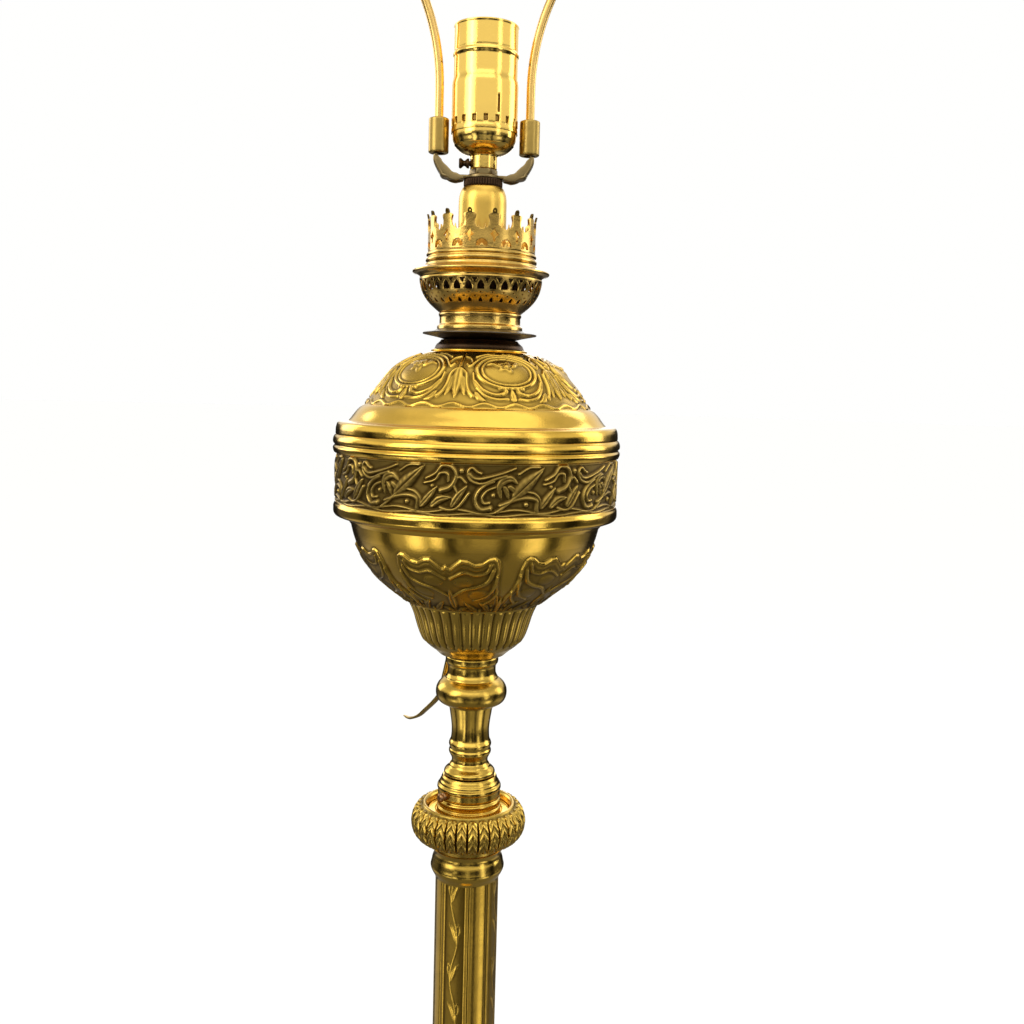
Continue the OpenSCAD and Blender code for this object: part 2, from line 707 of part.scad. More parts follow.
// Insulating body that carries the thread shell, the contact and the switch
module socket_core() {
    r = lamp_thread_d / 2 + 0.9;
    color([0.10, 0.09, 0.08]) difference() {
        translate([0, 0, z_shell0 - 4]) cylinder(r = r, h = z_thread0 - z_shell0 + 4);
        translate([0, 0, z_shell0 - 5]) cylinder(r = 5.6, h = 4);
        translate([0, 0, z_thread0 - contact_recess]) cylinder(r = 7, h = 10);
        translate([0, 0, switch_z]) rotate([-90, 0, 0]) cylinder(r = 1.7, h = 30);
        for (a = [0, 180]) rotate([0, 0, a]) translate([0, 0, z_shell0 + 1])
            rotate([0, 90, 0]) cylinder(r = 1.4, h = 30);
    }
}

module terminal_screws() {
    r = lamp_thread_d / 2 + 0.9;
    color([0.75, 0.65, 0.40])
        for (a = [0, 180]) rotate([0, 0, a]) translate([0, 0, z_shell0 + 1])
            rotate([0, 90, 0])
                turned([[1.35, r - 5], [1.35, r + 0.05], [2.2, r + 0.05], [2.2, r + 1]], 0);
}

module lamp_thread_shell() {
    r = lamp_thread_d / 2;
    color([0.80, 0.66, 0.36]) translate([0, 0, z_thread0]) difference() {
        cylinder(r = r + 0.6, h = lamp_thread_l);
        translate([0, 0, -1]) cylinder(r = r, h = lamp_thread_l + 2);
    }
}

module centre_contact() {
    color([0.82, 0.66, 0.34]) translate([0, 0, z_thread0 - contact_recess]) {
        cylinder(r = 2, h = 2);
        translate([-2.5, -4, 1.6]) cube([5, 9, 0.8]);
    }
}

module socket_liner() {
    r = socket_d / 2 - 0.6;
    color([0.62, 0.52, 0.38]) difference() {
        translate([0, 0, z_shell0 + 1]) cylinder(r = r - fit, h = socket_h - 2.5);
        translate([0, 0, z_shell0]) cylinder(r = r - 0.5, h = socket_h + 2);
        translate([0, 0, switch_z]) rotate([-90, 0, 0]) cylinder(r = 2.6, h = 30);
    }
}

// Socket shell: the lower part is wider, with a step, a bead and a front slit
module socket_shell() {
    r = socket_d / 2;
    h = socket_h;
    w = 0.6;
    color([0.90, 0.78, 0.50]) difference() {
        translate([0, 0, z_shell0]) rotate_extrude()
            polygon([[r + 0.7, 0], [r + 0.7, h - 27], [r, h - 26], [r, h - 15.4],
                     [r + 0.5, h - 14.6], [r + 0.5, h - 13.6], [r, h - 12.8],
                     [r, h - 1], [r + 0.4, h - 0.7], [r + 0.4, h], [r - w, h],
                     [r - w, 0]]);
        translate([7.2, -r - 4, z_shell0 + 9]) cube([1.2, 8, 8]);
        translate([0, 0, switch_z]) rotate([-90, 0, 0]) cylinder(r = 2.6, h = 30);
    }
}

// Turn knob of the switch, on its spindle, at the back of the socket
module switch_knob() {
    y0 = lamp_thread_d / 2 - 5;
    y1 = socket_d / 2 + 2;
    color([0.12, 0.10, 0.08]) translate([0, 0, switch_z]) rotate([-90, 0, 0]) {
        translate([0, 0, y0]) cylinder(r = 1.65, h = y1 + 4 - y0);
        translate([0, 0, y1]) cylinder(r = 3.2, h = 5);
        translate([0, 0, y1 + 4]) intersection() {
            cylinder(r = 6.5, h = 11);
            translate([-7, -1.8, 0]) cube([14, 3.6, 11]);
        }
    }
}

// A piece of wire along an arc in the XZ plane, from angle a0 to a1. A spliced
// piece is a hair thinner and runs 0.6 mm into its neighbours at both ends
module wire_arc(cx, cz, r, a0, a1, spliced = false) {
    lap = spliced ? 0.6 / r * 180 / PI : 0;
    translate([cx, 0, cz]) rotate([90, 0, 0]) rotate([0, 0, a0 - lap])
        rotate_extrude(angle = a1 - a0 + 2 * lap) translate([r, 0])
            circle(r = wire_r - (spliced ? 0.05 : 0), $fn = 48);
}

// Harp bow: flat tongues at the feet, round wire above, a pierced boss on top
module harp_bow() {
    x = leg_x;
    color([0.82, 0.66, 0.34]) difference() {
        union() {
            for (s = [0, 180]) rotate([0, 0, s]) {
                translate([x - 1.7, -1.9, z_ferrule + 1])
                    cube([1.7 - tip_gap, 3.8, z_leg + 3 - z_ferrule - 1]);
                translate([x, 0, z_leg]) cylinder(r = wire_r, h = bow_straight - z_leg);
                wire_arc(x + bow_out_r, bow_straight, bow_out_r, 180 - bow_out_a, 180, true);
                wire_arc(bow_cx, bow_cz, bow_side_r, -bow_out_a, bow_in_a);
            }
            wire_arc(0, bow_top_cz, bow_top_r, bow_in_a, 180 - bow_in_a, true);
            translate([0, 0, z_bow_top - 2.6]) cylinder(r = 7, h = 5.2);
        }
        translate([0, 0, z_bow_top - 10]) cylinder(r = stud_neck_r + fit, h = 20);
    }
}

// Stud that swivels in the top of the bow and takes a shade and finial
module harp_stud() {
    color([0.84, 0.70, 0.40]) translate([0, 0, z_bow_top]) {
        translate([0, 0, -4.4]) cylinder(r = 4.2, h = 1.4);
        translate([0, 0, -3.4]) cylinder(r = stud_neck_r, h = 6.8);
        translate([0, 0, 3]) cylinder(r = 6.5, h = 1.6);
        translate([0, 0, 4]) cylinder(r = stud_d / 2, h = 10.8);
    }
}

module ferrule(x, z) {
    r = ferrule_d / 2;
    color([0.62, 0.52, 0.26]) translate([x, 0, 0])
        turned([[r - 0.6, 0], [r, 0.8], [r, ferrule_l - 0.8], [r - 0.6, ferrule_l]],
               ferrule_bore, z);
}
module ferrule_left() { ferrule(-leg_x, z_ferrule + ferrule_lift); }
module ferrule_right() { ferrule(leg_x, z_ferrule); }

base_felt();
base_weight();
base_shell();
base_nipple();
base_washer();
base_nut();
cord_bushing();
column_foot();
column_plug();
column_tube();
column_capital();
leaf_ring();
dished_disc();
clamp_collar();
clamp_screw_left();
clamp_screw_right();
sliding_rod();
rod_guide();
stem_flange();
stem_taper();
stem_knop();
stem_neck();
stem_hook();
centre_pipe();
fluted_cup();
font_bowl();
bowl_locknut();
font_rim();
font_band();
font_dome();
oil_tank();
font_collar();
drip_plate();
burner_neck();
burner_bowl();
burner_flange();
gallery_ring();
gallery_crown();
adapter_plate();
adapter_tube();
saddle_locknut();
harp_saddle();
spacer_nut();
socket_cap();
cap_set_screw();
socket_core();
terminal_screws();
lamp_thread_shell();
centre_contact();
socket_liner();
socket_shell();
switch_knob();
harp_bow();
harp_stud();
ferrule_left();
ferrule_right();
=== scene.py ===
import json
import math

import bmesh
import bpy
import numpy as np
from mathutils import Matrix, Vector


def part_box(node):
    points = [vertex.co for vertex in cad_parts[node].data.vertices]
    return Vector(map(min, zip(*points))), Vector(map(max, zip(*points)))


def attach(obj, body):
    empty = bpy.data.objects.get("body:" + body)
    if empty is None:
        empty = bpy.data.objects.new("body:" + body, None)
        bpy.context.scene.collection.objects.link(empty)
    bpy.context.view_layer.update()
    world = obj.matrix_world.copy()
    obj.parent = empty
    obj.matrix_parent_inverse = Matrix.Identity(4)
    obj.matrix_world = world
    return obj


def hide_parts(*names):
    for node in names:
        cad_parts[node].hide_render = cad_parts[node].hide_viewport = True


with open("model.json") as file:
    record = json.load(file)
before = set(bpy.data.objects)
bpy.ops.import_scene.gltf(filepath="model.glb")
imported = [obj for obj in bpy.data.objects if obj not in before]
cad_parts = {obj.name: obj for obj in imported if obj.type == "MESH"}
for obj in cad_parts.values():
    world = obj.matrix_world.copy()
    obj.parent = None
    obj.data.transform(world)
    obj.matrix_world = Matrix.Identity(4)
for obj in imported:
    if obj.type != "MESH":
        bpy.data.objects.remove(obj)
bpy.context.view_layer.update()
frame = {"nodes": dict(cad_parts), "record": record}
MM = 0.001

# Outlines are lists of (radius, height) or (radius, height, corner radius) in
# millimetres, from the bottom up, and start at height 0 of their CAD node.
# Azimuths are in degrees from the lamp's front, growing to the right.


# ---------------------------------------------------------------- frame values
def level(node):
    """The lowest height of a CAD node, in millimetres."""
    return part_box(node)[0][2] / MM


def height(node):
    """The height of a CAD node, in millimetres."""
    low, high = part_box(node)
    return (high[2] - low[2]) / MM


def middle(node, axis=2):
    """The middle of a CAD node along one axis, in millimetres."""
    low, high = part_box(node)
    return (low[axis] + high[axis]) / 2 / MM


def radius(node):
    """The largest radius of a turned CAD node, in millimetres."""
    low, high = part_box(node)
    return (high[0] - low[0]) / 2 / MM


PIPE = 5.05                      # bore of what sits on the centre pipe
ROD = radius("sliding_rod")
COLUMN = radius("column_tube")
FONT = radius("font_band") - 1.7
CROWN = radius("gallery_crown")
SOCKET = radius("socket_shell") - 0.7
FERRULE_BORE = 3.0
RELIEF_ANGLE = 85                # degrees; embossed pieces keep only sharper edges


# ------------------------------------------------------------------- mesh code
def rounded(outline, steps=5):
    """The outline with each inner corner drawn as a short curve."""
    points = [np.array(p[:2], float) for p in outline]
    line = [points[0]]
    for i in range(1, len(points) - 1):
        corner = points[i]
        before = points[i - 1] - corner
        after = points[i + 1] - corner
        bevel = outline[i][2] if len(outline[i]) > 2 else 1e9
        a = before * min(0.5, bevel / max(np.linalg.norm(before), 1e-9))
        b = after * min(0.5, bevel / max(np.linalg.norm(after), 1e-9))
        for k in range(steps + 1):
            t = k / steps
            line.append(corner + a * (1 - t) ** 2 + b * t ** 2)
    line.append(points[-1])
    kept = [line[0]]
    for p in line[1:]:
        if np.linalg.norm(p - kept[-1]) > 1e-4:
            kept.append(p)
    return np.array(kept)


def run_of(line):
    """The length along a line at each of its points."""
    return np.r_[0, np.cumsum(np.linalg.norm(np.diff(line, axis=0), axis=1))]


def evenly(line, step):
    """The same line with points about one step apart."""
    run = run_of(line)
    count = max(3, int(run[-1] / step) + 1)
    at = np.linspace(0, run[-1], count)
    return np.c_[np.interp(at, run, line[:, 0]), np.interp(at, run, line[:, 1])]


def outward(line):
    """Unit normals of a turned outline, away from the axis."""
    slope = np.gradient(line, axis=0)
    normal = np.c_[slope[:, 1], -slope[:, 0]]
    return normal / np.maximum(np.linalg.norm(normal, axis=1, keepdims=True), 1e-9)


def placed(name, data):
    """A new object in the scene."""
    made = bpy.data.objects.new(name, data)
    bpy.context.scene.collection.objects.link(made)
    return made


def paint(mesh, tone):
    """Writes a tone from 0 (tarnish and painted shade) to 1 (clean) for each point of a mesh."""
    shade = np.clip(tone, 0, 1).ravel()
    layer = mesh.color_attributes.new("tone", "FLOAT_COLOR", "POINT")
    layer.data.foreach_set("color", np.c_[shade, shade, shade, np.ones_like(shade)].ravel())


def grid_object(name, points, tone, wrap_rows=True):
    """A smooth mesh object on a grid of points that closes around the axis."""
    rows, cols = points.shape[:2]
    last = rows if wrap_rows else rows - 1
    i = np.repeat(np.arange(last), cols)
    j = np.tile(np.arange(cols), last)
    up = (i + 1) % rows
    right = (j + 1) % cols
    quads = np.c_[i * cols + j, i * cols + right, up * cols + right, up * cols + j]
    mesh = bpy.data.meshes.new(name)
    mesh.vertices.add(rows * cols)
    mesh.vertices.foreach_set("co", (points * MM).astype(np.float32).ravel())
    mesh.loops.add(quads.size)
    mesh.loops.foreach_set("vertex_index", quads.astype(np.int32).ravel())
    mesh.polygons.add(len(quads))
    mesh.polygons.foreach_set("loop_start", np.arange(0, quads.size, 4, dtype=np.int32))
    mesh.polygons.foreach_set("use_smooth", np.ones(len(quads), dtype=bool))
    mesh.update(calc_edges=True)
    paint(mesh, tone)
    return placed(name, mesh)


def split_line(outline, at, step):
    """The outline in two lengths that meet at the given run, points a step apart."""
    line = rounded(outline)
    run = run_of(line)
    place = np.array([np.interp(at, run, line[:, 0]), np.interp(at, run, line[:, 1])])
    low = np.vstack([line[run < at - 1e-3], place])
    high = np.vstack([place, line[run > at + 1e-3]])
    return evenly(low, step), high


def lathe(name, outline, bore, z, cols=144, step=None, relief=None, inner=None, phi=None):
    """A turned piece: outer outline, closed by a bore or by an inner outline."""
    outer = outline if isinstance(outline, np.ndarray) else rounded(outline)
    if step:
        outer = evenly(outer, step)
    normal = outward(outer)
    back = np.array(inner if inner else [(bore, outer[-1, 1]), (bore, outer[0, 1])], float)
    if phi is None:
        phi = np.linspace(0, 2 * math.pi, cols, endpoint=False)
    cols = len(phi)
    lift = np.zeros((len(outer), cols))
    tone = np.ones((len(outer), cols))
    if relief:
        run = run_of(outer)
        lift, tone = relief(phi[None, :], run[:, None], outer[:, :1], outer[:, 1:])
    r = outer[:, :1] + normal[:, :1] * lift
    h = outer[:, 1:] + normal[:, 1:] * lift
    r = np.vstack([r, np.repeat(back[:, :1], cols, axis=1)])
    h = np.vstack([h, np.repeat(back[:, 1:], cols, axis=1)])
    tone = np.vstack([tone, np.ones((len(back), cols))])
    points = np.stack([r * np.sin(phi), -r * np.cos(phi), h + z], axis=2)
    return grid_object(name, points, tone)


def turned_on(name, outline, origin, direction, cols=48):
    """A small solid of revolution about any axis; the outline starts at origin."""
    line = rounded(outline)
    line = np.vstack([[0.0, line[0, 1]], line, [0.0, line[-1, 1]]])
    phi = np.linspace(0, 2 * math.pi, cols, endpoint=False)
    axis = Vector(direction).normalized()
    side = axis.orthogonal().normalized()
    other = axis.cross(side)
    a, s, o = np.array(axis), np.array(side), np.array(other)
    ring = np.cos(phi)[:, None] * s + np.sin(phi)[:, None] * o
    points = line[:, :1, None] * ring[None] + line[:, 1:, None] * a + np.array(origin)
    return weld(grid_object(name, points, np.ones(points.shape[:2]), wrap_rows=False))


def weld(made, gap=1e-6):
    """Merges points closer than gap metres and turns the faces outward."""
    work = bmesh.new()
    work.from_mesh(made.data)
    bmesh.ops.remove_doubles(work, verts=work.verts, dist=gap)
    bmesh.ops.dissolve_degenerate(work, dist=gap / 10, edges=work.edges)
    bmesh.ops.recalc_face_normals(work, faces=work.faces)
    work.to_mesh(made.data)
    work.free()
    return made


def sweep(name, path, widths, depths, side, cols=24, square=2.0):
    """A tube along a path in one plane; side is that plane's normal."""
    path = np.array(path, float)
    run = np.gradient(path, axis=0)
    run /= np.linalg.norm(run, axis=1, keepdims=True)
    side = np.array(side, float)
    up = np.cross(run, side)
    a = np.linspace(0, 2 * math.pi, cols, endpoint=False)
    ca = np.sign(np.cos(a)) * np.abs(np.cos(a)) ** (2 / square)
    sa = np.sign(np.sin(a)) * np.abs(np.sin(a)) ** (2 / square)
    widths = np.broadcast_to(widths, len(path))
    depths = np.broadcast_to(depths, len(path))
    rows = [path[i] + widths[i] * ca[:, None] * side + depths[i] * sa[:, None] * up[i]
            for i in range(len(path))]
    rows = [np.repeat(path[:1], cols, axis=0)] + rows + [np.repeat(path[-1:], cols, axis=0)]
    points = np.stack(rows)
    return weld(grid_object(name, points, np.ones(points.shape[:2]), wrap_rows=False))


def smooth_line(points, count=60):
    """A smooth line through a few chosen points."""
    p = np.array(points, float)
    p = np.vstack([2 * p[0] - p[1], p, 2 * p[-1] - p[-2]])
    out = []
    each = max(2, count // (len(p) - 3))
    for i in range(1, len(p) - 2):
        for k in range(each):
            t = k / each
            a, b, c, d = p[i - 1], p[i], p[i + 1], p[i + 2]
            out.append(0.5 * (2 * b + (c - a) * t + (2 * a - 5 * b + 4 * c - d) * t ** 2
                              + (3 * b - a - 3 * c + d) * t ** 3))
    out.append(p[-2])
    return np.array(out)


def joined(name, parts):
    """One object made of several."""
    work = bmesh.new()
    for part in parts:
        part.data.transform(part.matrix_world)
        work.from_mesh(part.data)
    mesh = bpy.data.meshes.new(name)
    work.to_mesh(mesh)
    work.free()
    for part in parts:
        bpy.data.objects.remove(part)
    return placed(name, mesh)


def extruded(name, outline, depth, plane, bevel):
    """A plate with the given outline; plane maps (u, v, n) to a point in mm."""
    work = bmesh.new()
    low = [work.verts.new(plane(u, v, -depth / 2)) for u, v in outline]
    high = [work.verts.new(plane(u, v, depth / 2)) for u, v in outline]
    count = len(outline)
    work.faces.new(low[::-1])
    work.faces.new(high)
    for i in range(count):
        j = (i + 1) % count
        work.faces.new([low[i], low[j], high[j], high[i]])
    for v in work.verts:
        v.co *= MM
    bmesh.ops.recalc_face_normals(work, faces=work.faces)
    sharp = [e for e in work.edges if e.calc_face_angle(0) > 0.6]
    bmesh.ops.bevel(work, geom=sharp, offset=bevel * MM, segments=2, profile=0.6,
                    affect="EDGES")
    mesh = bpy.data.meshes.new(name)
    work.to_mesh(mesh)
    work.free()
    return placed(name, mesh)


def shade_smooth(mesh, angle):
    """Smooth shading that keeps edges sharper than the angle."""
    mesh.polygons.foreach_set("use_smooth", np.ones(len(mesh.polygons), dtype=bool))
    mesh.set_sharp_from_angle(angle=math.radians(angle))


def cut(made, cutter):
    """Takes the cutter's shape out of a mesh."""
    step = made.modifiers.new("cut", "BOOLEAN")
    step.operation = "DIFFERENCE"
    step.solver = "EXACT"
    step.object = cutter
    view = bpy.context.evaluated_depsgraph_get()
    mesh = bpy.data.meshes.new_from_object(made.evaluated_get(view))
    made.modifiers.clear()
    made.data = mesh
    bpy.data.objects.remove(cutter)


# ------------------------------------------------------------- relief drawing
def nearest(points, u, v):
    """Distance to a line on the (u, v) plane, and the share of the way along it."""
    line = smooth_line(points, 36)
    best = np.full(np.broadcast(u, v).shape, 1e9)
    share = np.zeros_like(best)
    count = len(line) - 1
    for k in range(count):
        a, b = line[k], line[k + 1]
        d = b - a
        span = max(d @ d, 1e-9)
        t = np.clip(((u - a[0]) * d[0] + (v - a[1]) * d[1]) / span, 0, 1)
        x = u - a[0] - t * d[0]
        y = v - a[1] - t * d[1]
        far = x * x + y * y
        hit = far < best
        best = np.where(hit, far, best)
        share = np.where(hit, (k + t) / count, share)
    return np.sqrt(best), share


def strand(u, v, points, start, end, lift, edge=0.0):
    """A rounded strand whose half width runs from start to end."""
    d, t = nearest(points, u, v)
    half = start + (end - start) * t
    x = np.clip(d / half, 0, 1)
    body = lift * (1 - x ** 3)
    if edge:
        body = body - edge * np.exp(-((x - 0.5) / 0.2) ** 2)
    return np.maximum(body, 0)


def blade(u, v, points, half, lift, veins=5.0, rib=0.3):
    """A leaf along a line: widest in its lower half, with a rib and veins."""
    d, t = nearest(points, u, v)
    width = half * np.sin(math.pi * np.clip(t, 0, 1) ** 0.75) ** 0.8 + 1e-6
    x = np.clip(d / width, 0, 1)
    body = lift * (1 - x ** 3)
    body -= rib * np.exp(-(d / 0.4) ** 2) * (x < 1)
    body += 0.10 * lift * np.cos(2 * math.pi * (t * veins - 0.8 * x)) * x * (1 - x ** 4)
    return np.maximum(body, 0)


def dome_bump(u, v, cu, cv, size, lift):
    """A round bead."""
    d2 = ((u - cu) ** 2 + (v - cv) ** 2) / size ** 2
    return lift * np.sqrt(np.clip(1 - d2, 0, 1))


def highest(strokes, u, v):
    """The highest of several strokes, each a drawing function and its values."""
    return np.maximum.reduce([draw(u, v, *values) for draw, *values in strokes])


def relief_shade_and_tarnish(lift, reach_u, reach_v, ground, gain):
    """Tone from relief: painted shade and tarnish at the foot of what stands up, clean metal on its
    top.
    """
    wide = sum(np.roll(lift, k, axis=1) for k in range(-reach_u, reach_u + 1))
    wide = wide / (2 * reach_u + 1)
    rows = np.pad(wide, ((reach_v, reach_v), (0, 0)), mode="edge")
    count = len(lift)
    soft = sum(rows[k:k + count] for k in range(2 * reach_v + 1)) / (2 * reach_v + 1)
    return np.clip(ground + gain * (lift - soft), 0.03, 1)


def step_up(x, width=1.0):
    """0 below 0, 1 above width, and smooth between them."""
    t = np.clip(x / width, 0, 1)
    return t * t * (3 - 2 * t)


def repeat(phi, count, centre):
    """Angle from the middle of the nearest of count repeats, in radians."""
    span = 2 * math.pi / count
    return (phi - math.radians(centre) + span / 2) % span - span / 2


# ------------------------------------------------------------------- materials
def node(tree, kind, **sockets):
    """A shader node with the given input values."""
    made = tree.nodes.new(kind)
    for key, value in sockets.items():
        made.inputs[key.replace("_", " ")].default_value = value
    return made


def noise(tree, coords, scale, detail):
    """Noise in object space, in cycles per metre."""
    made = node(tree, "ShaderNodeTexNoise", Scale=scale, Detail=detail, Roughness=0.6)
    tree.links.new(coords, made.inputs["Vector"])
    return made.outputs["Fac"]


def ranged(tree, value, low, high, to_low=0.0, to_high=1.0, kind="LINEAR"):
    """The value mapped from one range to another, clamped."""
    made = node(tree, "ShaderNodeMapRange", From_Min=low, From_Max=high, To_Min=to_low,
                To_Max=to_high)
    made.interpolation_type = kind
    tree.links.new(value, made.inputs["Value"])
    return made.outputs["Result"]


def maths(tree, kind, a, b):
    """One maths node on two values, each a socket or a number."""
    made = tree.nodes.new("ShaderNodeMath")
    made.operation = kind
    for slot_, value in zip(made.inputs, (a, b)):
        if isinstance(value, (int, float)):
            slot_.default_value = value
        else:
            tree.links.new(value, slot_)
    return made.outputs["Value"]


def mixed(tree, fac, a, b):
    """A colour between two colours."""
    made = tree.nodes.new("ShaderNodeMix")
    made.data_type = "RGBA"
    tree.links.new(fac, made.inputs["Factor"])
    for slot_, value in ((made.inputs[6], a), (made.inputs[7], b)):
        if isinstance(value, tuple):
            slot_.default_value = (*value, 1)
        else:
            tree.links.new(value, slot_)
    return made.outputs[2]


def new_material(name):
    """An empty material, its node tree, its shader and its object coordinates."""
    made = bpy.data.materials.new(name)
    made.use_nodes = True
    tree = made.node_tree
    coords = tree.nodes.new("ShaderNodeTexCoord").outputs["Object"]
    return made, tree, tree.nodes["Principled BSDF"], coords


def roughen(tree, shader, value, strength, depth):
    """A fine uneven surface; depth is in metres."""
    made = node(tree, "ShaderNodeBump", Strength=strength, Distance=depth)
    tree.links.new(value, made.inputs["Height"])
    tree.links.new(made.outputs["Normal"], shader.inputs["Normal"])


def metal(name, toned, base, deep, rough, stain, blotch=22.0):
    """Aged polished metal: tarnish in blotches, painted shade and tarnish in recesses, fine
    scratches.
    """
    made, tree, shader, coords = new_material(name)
    shader.inputs["Metallic"].default_value = 1.0
    large = noise(tree, coords, blotch, 5.0)
    fine = noise(tree, coords, 260.0, 6.0)
    grain = noise(tree, coords, 1500.0, 3.0)
    dull = ranged(tree, large, 0.42, 0.78, 0.0, stain)
    speck = ranged(tree, fine, 0.55, 0.85, 0.0, stain * 0.8)
    clean_and_unshaded = maths(tree, "SUBTRACT", 1.0, maths(tree, "MAXIMUM", dull, speck))
    if toned:
        tone = tree.nodes.new("ShaderNodeVertexColor")
        tone.layer_name = "tone"
        split = tree.nodes.new("ShaderNodeSeparateColor")
        tree.links.new(tone.outputs["Color"], split.inputs["Color"])
        # the mesh's tone adds painted shade in recesses and folds to the tarnish
        clean_and_unshaded = maths(tree, "MULTIPLY", clean_and_unshaded, split.outputs["Red"])
    tree.links.new(mixed(tree, clean_and_unshaded, deep, base), shader.inputs["Base Color"])
    worn = ranged(tree, clean_and_unshaded, 0.0, 1.0, 0.5, rough)
    hazy = ranged(tree, fine, 0.3, 0.7, -0.035, 0.045)
    tree.links.new(maths(tree, "ADD", worn, hazy), shader.inputs["Roughness"])
    both = maths(tree, "ADD", maths(tree, "MULTIPLY", large, 6.0), grain)
    roughen(tree, shader, both, 0.10, 0.0004)
    return made


def matte(name, base, other, rough, scale, bump):
    """A plain non-metal with two mixed shades and a fine surface."""
    made, tree, shader, coords = new_material(name)
    mottle = noise(tree, coords, scale, 6.0)
    colour = mixed(tree, ranged(tree, mottle, 0.3, 0.7), base, other)
    tree.links.new(colour, shader.inputs["Base Color"])
    uneven = ranged(tree, mottle, 0.3, 0.7, rough - 0.08, rough + 0.08)
    tree.links.new(uneven, shader.inputs["Roughness"])
    roughen(tree, shader, mottle, bump, 0.0003)
    return made


GOLD = (0.84, 0.53, 0.085)
OLD = (0.70, 0.44, 0.065)
BROWN = (0.050, 0.028, 0.004)
# Slot: base colour, colour of the tarnish and of the painted shade, roughness, share stained,
# blotch scale.
METALS = {
    "brass_base": (OLD, (0.12, 0.07, 0.012), 0.12, 0.5),
    "steel": ((0.42, 0.41, 0.40), (0.16, 0.14, 0.12), 0.32, 0.6),
    "brass_column": (OLD, BROWN, 0.11, 0.45),
    "brass_cast": ((0.72, 0.47, 0.085), BROWN, 0.11, 0.4),
    "brass_bright": (GOLD, BROWN, 0.07, 0.28),
    "copper_screw": ((0.36, 0.19, 0.08), (0.06, 0.03, 0.015), 0.3, 0.6),
    "hook_brass": ((0.50, 0.34, 0.09), (0.07, 0.045, 0.012), 0.28, 0.6),
    "brass_patina": ((0.74, 0.50, 0.12), (0.060, 0.034, 0.006), 0.15, 0.35),
    "tank": ((0.45, 0.38, 0.22), (0.15, 0.12, 0.07), 0.4, 0.6),
    "dark_brown": ((0.090, 0.050, 0.024), (0.02, 0.012, 0.008), 0.36, 0.6),
    "pewter": ((0.15, 0.125, 0.095), (0.03, 0.025, 0.02), 0.34, 0.6),
    "brass_burner": ((0.74, 0.48, 0.12), BROWN, 0.12, 0.45, 60),
    "brass_satin": ((0.86, 0.56, 0.11), (0.34, 0.19, 0.04), 0.25, 0.35),
    "bronze": ((0.34, 0.25, 0.11), (0.07, 0.048, 0.022), 0.27, 0.5),
    "brass_pale": ((0.94, 0.64, 0.15), (0.34, 0.20, 0.05), 0.08, 0.15),
    "harp_wire": ((0.80, 0.53, 0.17), (0.26, 0.15, 0.05), 0.22, 0.35),
}
# Slot: two shades, roughness, noise scale, strength of the uneven surface.
MATTES = {
    "felt": ((0.012, 0.03, 0.014), (0.03, 0.055, 0.028), 0.95, 900, 0.8),
    "cast_iron": ((0.03, 0.03, 0.032), (0.06, 0.058, 0.055), 0.6, 240, 0.6),
    "phenolic": ((0.012, 0.010, 0.009), (0.03, 0.022, 0.016), 0.35, 400, 0.1),
    "guide": ((0.62, 0.60, 0.52), (0.70, 0.68, 0.60), 0.5, 200, 0.1),
    "liner": ((0.40, 0.31, 0.19), (0.52, 0.42, 0.27), 0.85, 500, 0.5),
}
BODY = {n: body for body, ns in frame["record"]["behaviour"]["bodies"].items() for n in ns}
SLOT = {row["node"]: row["material_slot"] for row in frame["record"]["subparts"]}
MADE = {name: matte(name, *values) for name, values in MATTES.items()}


def material_of(slot_name, toned=True):
    """The slot's material, with or without the tone of a mesh of this script."""
    key = slot_name if toned or slot_name in MATTES else slot_name + "_plain"
    if key not in MADE:
        MADE[key] = metal(key, toned, *METALS[slot_name])
    return MADE[key]


for name_, obj_ in frame["nodes"].items():
    obj_.data.materials.clear()
    obj_.data.materials.append(material_of(SLOT[name_], toned=False))


def done(piece, *nodes, angle=40, slot_name=None, replaces=True):
    """Material, shading, body and slot of a piece that stands for these CAD nodes."""
    slot_name = slot_name or SLOT[nodes[0]]
    mesh = piece.data
    if "tone" not in mesh.color_attributes:
        paint(mesh, np.ones(len(mesh.vertices)))
    mesh.materials.clear()
    mesh.materials.append(material_of(slot_name))
    shade_smooth(mesh, angle)
    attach(piece, BODY[nodes[0]])
    if replaces:
        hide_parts(*nodes)
    return piece


def turned(node_name, outline, bore, cols=160, angle=40, **more):
    """A lathe piece that stands for one whole CAD node."""
    made = lathe(node_name + "_fine", outline, bore, level(node_name), cols, **more)
    return done(made, node_name, angle=angle)


def between(a, b, f):
    """The value a share f of the way from a to b."""
    return a + (b - a) * f


def tiled(count, phi, draw):
    """Draws one repeat and copies it round; the columns divide into count repeats."""
    cols = phi.shape[1] // count
    lift, tone = draw(phi[:, :cols])
    return np.tile(lift, (1, count)), np.tile(tone, (1, count))


# ------------------------------------------------------------------ base, column
def base_shell():
    """Stepped round base, with a hole at the back for the cord's bush."""
    r = radius("base_shell")
    z0 = level("base_shell")
    h = height("base_shell")
    shares = [(1, 0), (1, 0.08), (0.975, 0.12), (0.94, 0.13), (0.925, 0.19), (0.86, 0.24),
              (0.80, 0.25), (0.66, 0.33), (0.50, 0.44), (0.38, 0.53), (0.32, 0.56),
              (0.30, 0.63), (0.235, 0.68), (0.13, 0.76), (0.055, 0.87), (0.02, 0.95), (0, 1)]
    line = [(between(36, r, a), h * b, 6) for a, b in shares]
    inner = [(6.55, h), (6.55, h - 2.5)]
    inner += [(a - 2.5, max(b - 2.5, 0)) for a, b, _ in line[::-1]]
    shell = lathe("base_shell_fine", line, 0, z0, 200, inner=inner)
    hole = turned_on("hole", [(4.45, 0, 0), (4.45, 20, 0)], (0, r - 12, 8.6), (0, 1, 0))
    cut(shell, hole)
    done(shell, "base_shell")


